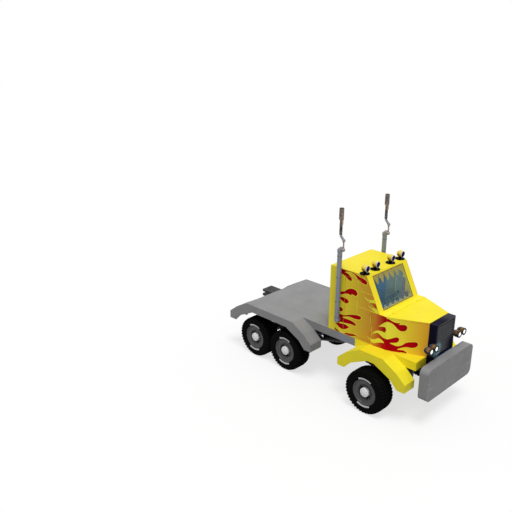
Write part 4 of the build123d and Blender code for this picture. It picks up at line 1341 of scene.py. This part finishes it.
DASH_MIDDLE = Vector((0, -1.188, 2.05))
DASH_OUT = Vector((0, 0.75, 0.66)).normalized()
DASH_UP = Vector((0, -0.66, 0.75))
HORN_TILT = math.radians(35)
DOOR_INNER_X = 0.7165


def make_dash_trim():
    """Dials and vents on the dashboard, and the horn button of the steering wheel."""
    bm = bmesh.new()
    for x, radius in ((0.24, 0.026), (0.32, 0.038), (0.41, 0.038), (0.49, 0.026)):
        at = DASH_MIDDLE + Vector((x, 0, 0))
        rim = [(0, radius), (0.006, radius), (0.008, radius * 0.92), (0.004, radius * 0.86)]
        lathe(bm, rim, at, DASH_OUT, 28, 1)
        lathe(bm, [rim[-1], (0.004, 0)], at, DASH_OUT, 28, 0)
        needle = at + DASH_OUT * 0.005
        rod(bm, needle, needle + (Vector((1, 0, 0)) + DASH_UP) * radius * 0.5, 0.0012, 6, 2)
        knob(bm, needle, DASH_OUT, 0.004, 0.003, 10)
    for x in (-0.58, -0.36, -0.12, 0.1):
        for k in range(5):
            slat = DASH_MIDDLE + Vector((x, 0, 0)) + DASH_UP * (k - 2) * 0.011
            rod(bm, slat - Vector((0.05, 0, 0)), slat + Vector((0.05, 0, 0)), 0.0028, 6)
    horn = [(0.004, 0.052), (0.012, 0.05), (0.018, 0.03), (0.02, 0)]
    lathe(bm, horn, (0.36, -1.013, 2.09), Vector((0, math.cos(HORN_TILT), math.sin(HORN_TILT))), 28)
    piece("dash_trim", bm, ["rubber", "chrome", "lens_red"])


def make_lining():
    """Padded panels on the cab's inner walls and roof, and a card with an armrest on each door."""
    bm = bmesh.new()
    for k in range(5):
        z = 1.62 + 0.245 * k
        slab(bm, (-0.70, -0.162, z), (0.70, -0.1475, z + 0.235), 0, 0.006)
    slab(bm, (-0.69, -0.95, 2.878), (0.69, -0.17, 2.8925), 0, 0.005)
    for side, row, column in product((1, -1), range(4), range(3)):
        y, z = -0.606 + 0.145 * column, 1.62 + 0.30 * row
        side_slab(bm, side, (0.703, y, z), (0.714, y + 0.139, z + 0.292), 1, 0.005)
    for side in (1, -1):
        side_slab(bm, side, (0.703, -0.868, 1.62), (0.714, -0.612, 2.80), 0, 0.005)
    piece("cab_lining", bm, ["lining", "lining_blue"])
    wall, card, grip = DOOR_INNER_X, DOOR_INNER_X - 0.010, DOOR_INNER_X - 0.03
    for word, side in SIDES.items():
        bm = bmesh.new()
        side_slab(bm, side, (card, -1.05, 1.62), (wall, -0.886, 2.66))
        side_slab(bm, side, (card, -1.215, 1.62), (wall, -1.056, 2.18), 1)
        side_slab(bm, side, (card, -1.125, 2.186), (wall, -1.056, 2.50), 1)
        side_slab(bm, side, (wall - 0.058, -1.16, 1.92), (wall - 0.008, -0.94, 1.965), 2, 0.012)
        handle = ((wall - 0.006, -1.19), (grip, -1.18), (grip, -1.11), (wall - 0.006, -1.10))
        sweep(bm, [Vector((side * x, y, 2.02)) for x, y in handle], 0.006, mat=3)
        mats = ["door_card", "door_mauve", "rubber", "chrome"]
        piece(f"door_card_{word}", bm, mats, body=f"door_{word}")


# ---------------------------------------------------------------- chassis fittings

TANK = [(0, 0), (0.004, 0.045), (0.016, 0.078), (0.036, 0.094), (0.384, 0.094), (0.404, 0.078),
        (0.416, 0.045), (0.42, 0)]
CHAMBER = [(0, 0), (0.002, 0.05), (0.02, 0.078), (0.11, 0.088), (0.112, 0.1), (0.134, 0.1), (0.136, 0.088),
           (0.225, 0.074), (0.248, 0.05), (0.25, 0)]


def make_fixings():
    """Rivets and bolts that hold the deck, the bumper and the springs, and pale marks on the bumper."""
    bm = bmesh.new()
    edge_rivets = [(side * 0.70, 0.08 + 0.14 * k) for side in (1, -1) for k in range(16)]
    end_rivets = [(-0.6 + 0.15 * k, y) for k in range(9) for y in (-0.06, 2.20)]
    for x, y in edge_rivets + end_rivets:
        knob(bm, (x, y, 1.3795), UP, 0.009, 0.004, 8)
    piece("deck_rivets", bm, ["grey"])
    bm = bmesh.new()
    for side, x, z in product((1, -1), (0.42, 0.62), (0.80, 1.23)):
        hex_nut(bm, (side * x, -2.8485, z), AHEAD, 0.014, 0.006)
    for side, (z, x0, x1) in product((1, -1), ((0.94, 0.72, 0.905), (1.09, 0.86, 0.912))):
        side_slab(bm, side, (x0, -2.8500, z), (x1, -2.8480, z + 0.005), 1, 0.0005)
    piece("bumper_bolts", bm, ["bolt", "bars"])
    bm = bmesh.new()
    for side, y, dy, dx in product((1, -1), AXLE_Y.values(), (-0.062, 0.062), (-0.04, 0.04)):
        foot = Vector((side * 0.37 + dx, y + dy, 0.50))
        rod(bm, foot, foot + UP * 0.16, 0.009, 10)
        hex_nut(bm, foot + UP * 0.16, UP, 0.015, 0.016)
    piece("spring_bolts", bm, ["dark_bolt"])


def make_air_tanks():
    """Two air reservoirs a side with domed ends and straps, hung outside the frame rails."""
    bm = bmesh.new()
    for side, y0 in product((1, -1), (1.03, 1.50)):
        at = (side * 0.56, y0, 1.075)
        lathe(bm, TANK, at, ASTERN, 36)
        for along in (0.1, 0.32):
            collar(bm, at, ASTERN, along, 0.094, 0.014, 0.0025, 36, 1)
            y = y0 + along
            side_slab(bm, side, (0.425, y - 0.012, 1.075), (0.50, y + 0.012, 1.095), 1, 0.002)
    piece("air_tanks", bm, ["black", "dark_bolt"])


def make_brake_chambers():
    """A brake chamber with its clamp ring on a bracket ahead of each end of both rear axles."""
    bm = bmesh.new()
    for side, place in product((1, -1), ("mid", "rear")):
        at = Vector((side * 0.55, AXLE_Y[place] - 0.325, 0.71))
        lathe(bm, CHAMBER, at, ASTERN, 32)
        slab(bm, at + Vector((-0.04, 0.19, -0.15)), at + Vector((0.04, 0.30, -0.06)), 1)
    piece("brake_chambers", bm, ["black", "dark_bolt"])


def make_grille_strips():
    """Thin trim strips on the grille: one across at mid height and one down the inner edge of each side."""
    bm = bmesh.new()
    slab(bm, (-0.325, -2.6355, 1.762), (0.325, -2.628, 1.770), 0, 0.002)
    for side in (1, -1):
        side_slab(bm, side, (0.318, -2.6355, 1.44), (0.325, -2.628, 2.06), 0, 0.002)
    piece("grille_strips", bm, ["dark_bolt"])


# ---------------------------------------------------------------- main

dress_nodes()
make_wheels()
make_flames()
make_windscreen()
make_roof_lamps()
make_headlamps()
make_exhaust_detail()
make_seats()
make_dash_trim()
make_lining()
make_fixings()
make_air_tanks()
make_brake_chambers()
make_tail_lamps()
make_grille_strips()

make_camera()
make_lights()
make_dome_light()
make_floor()
bpy.context.scene.view_settings.view_transform = "Standard"
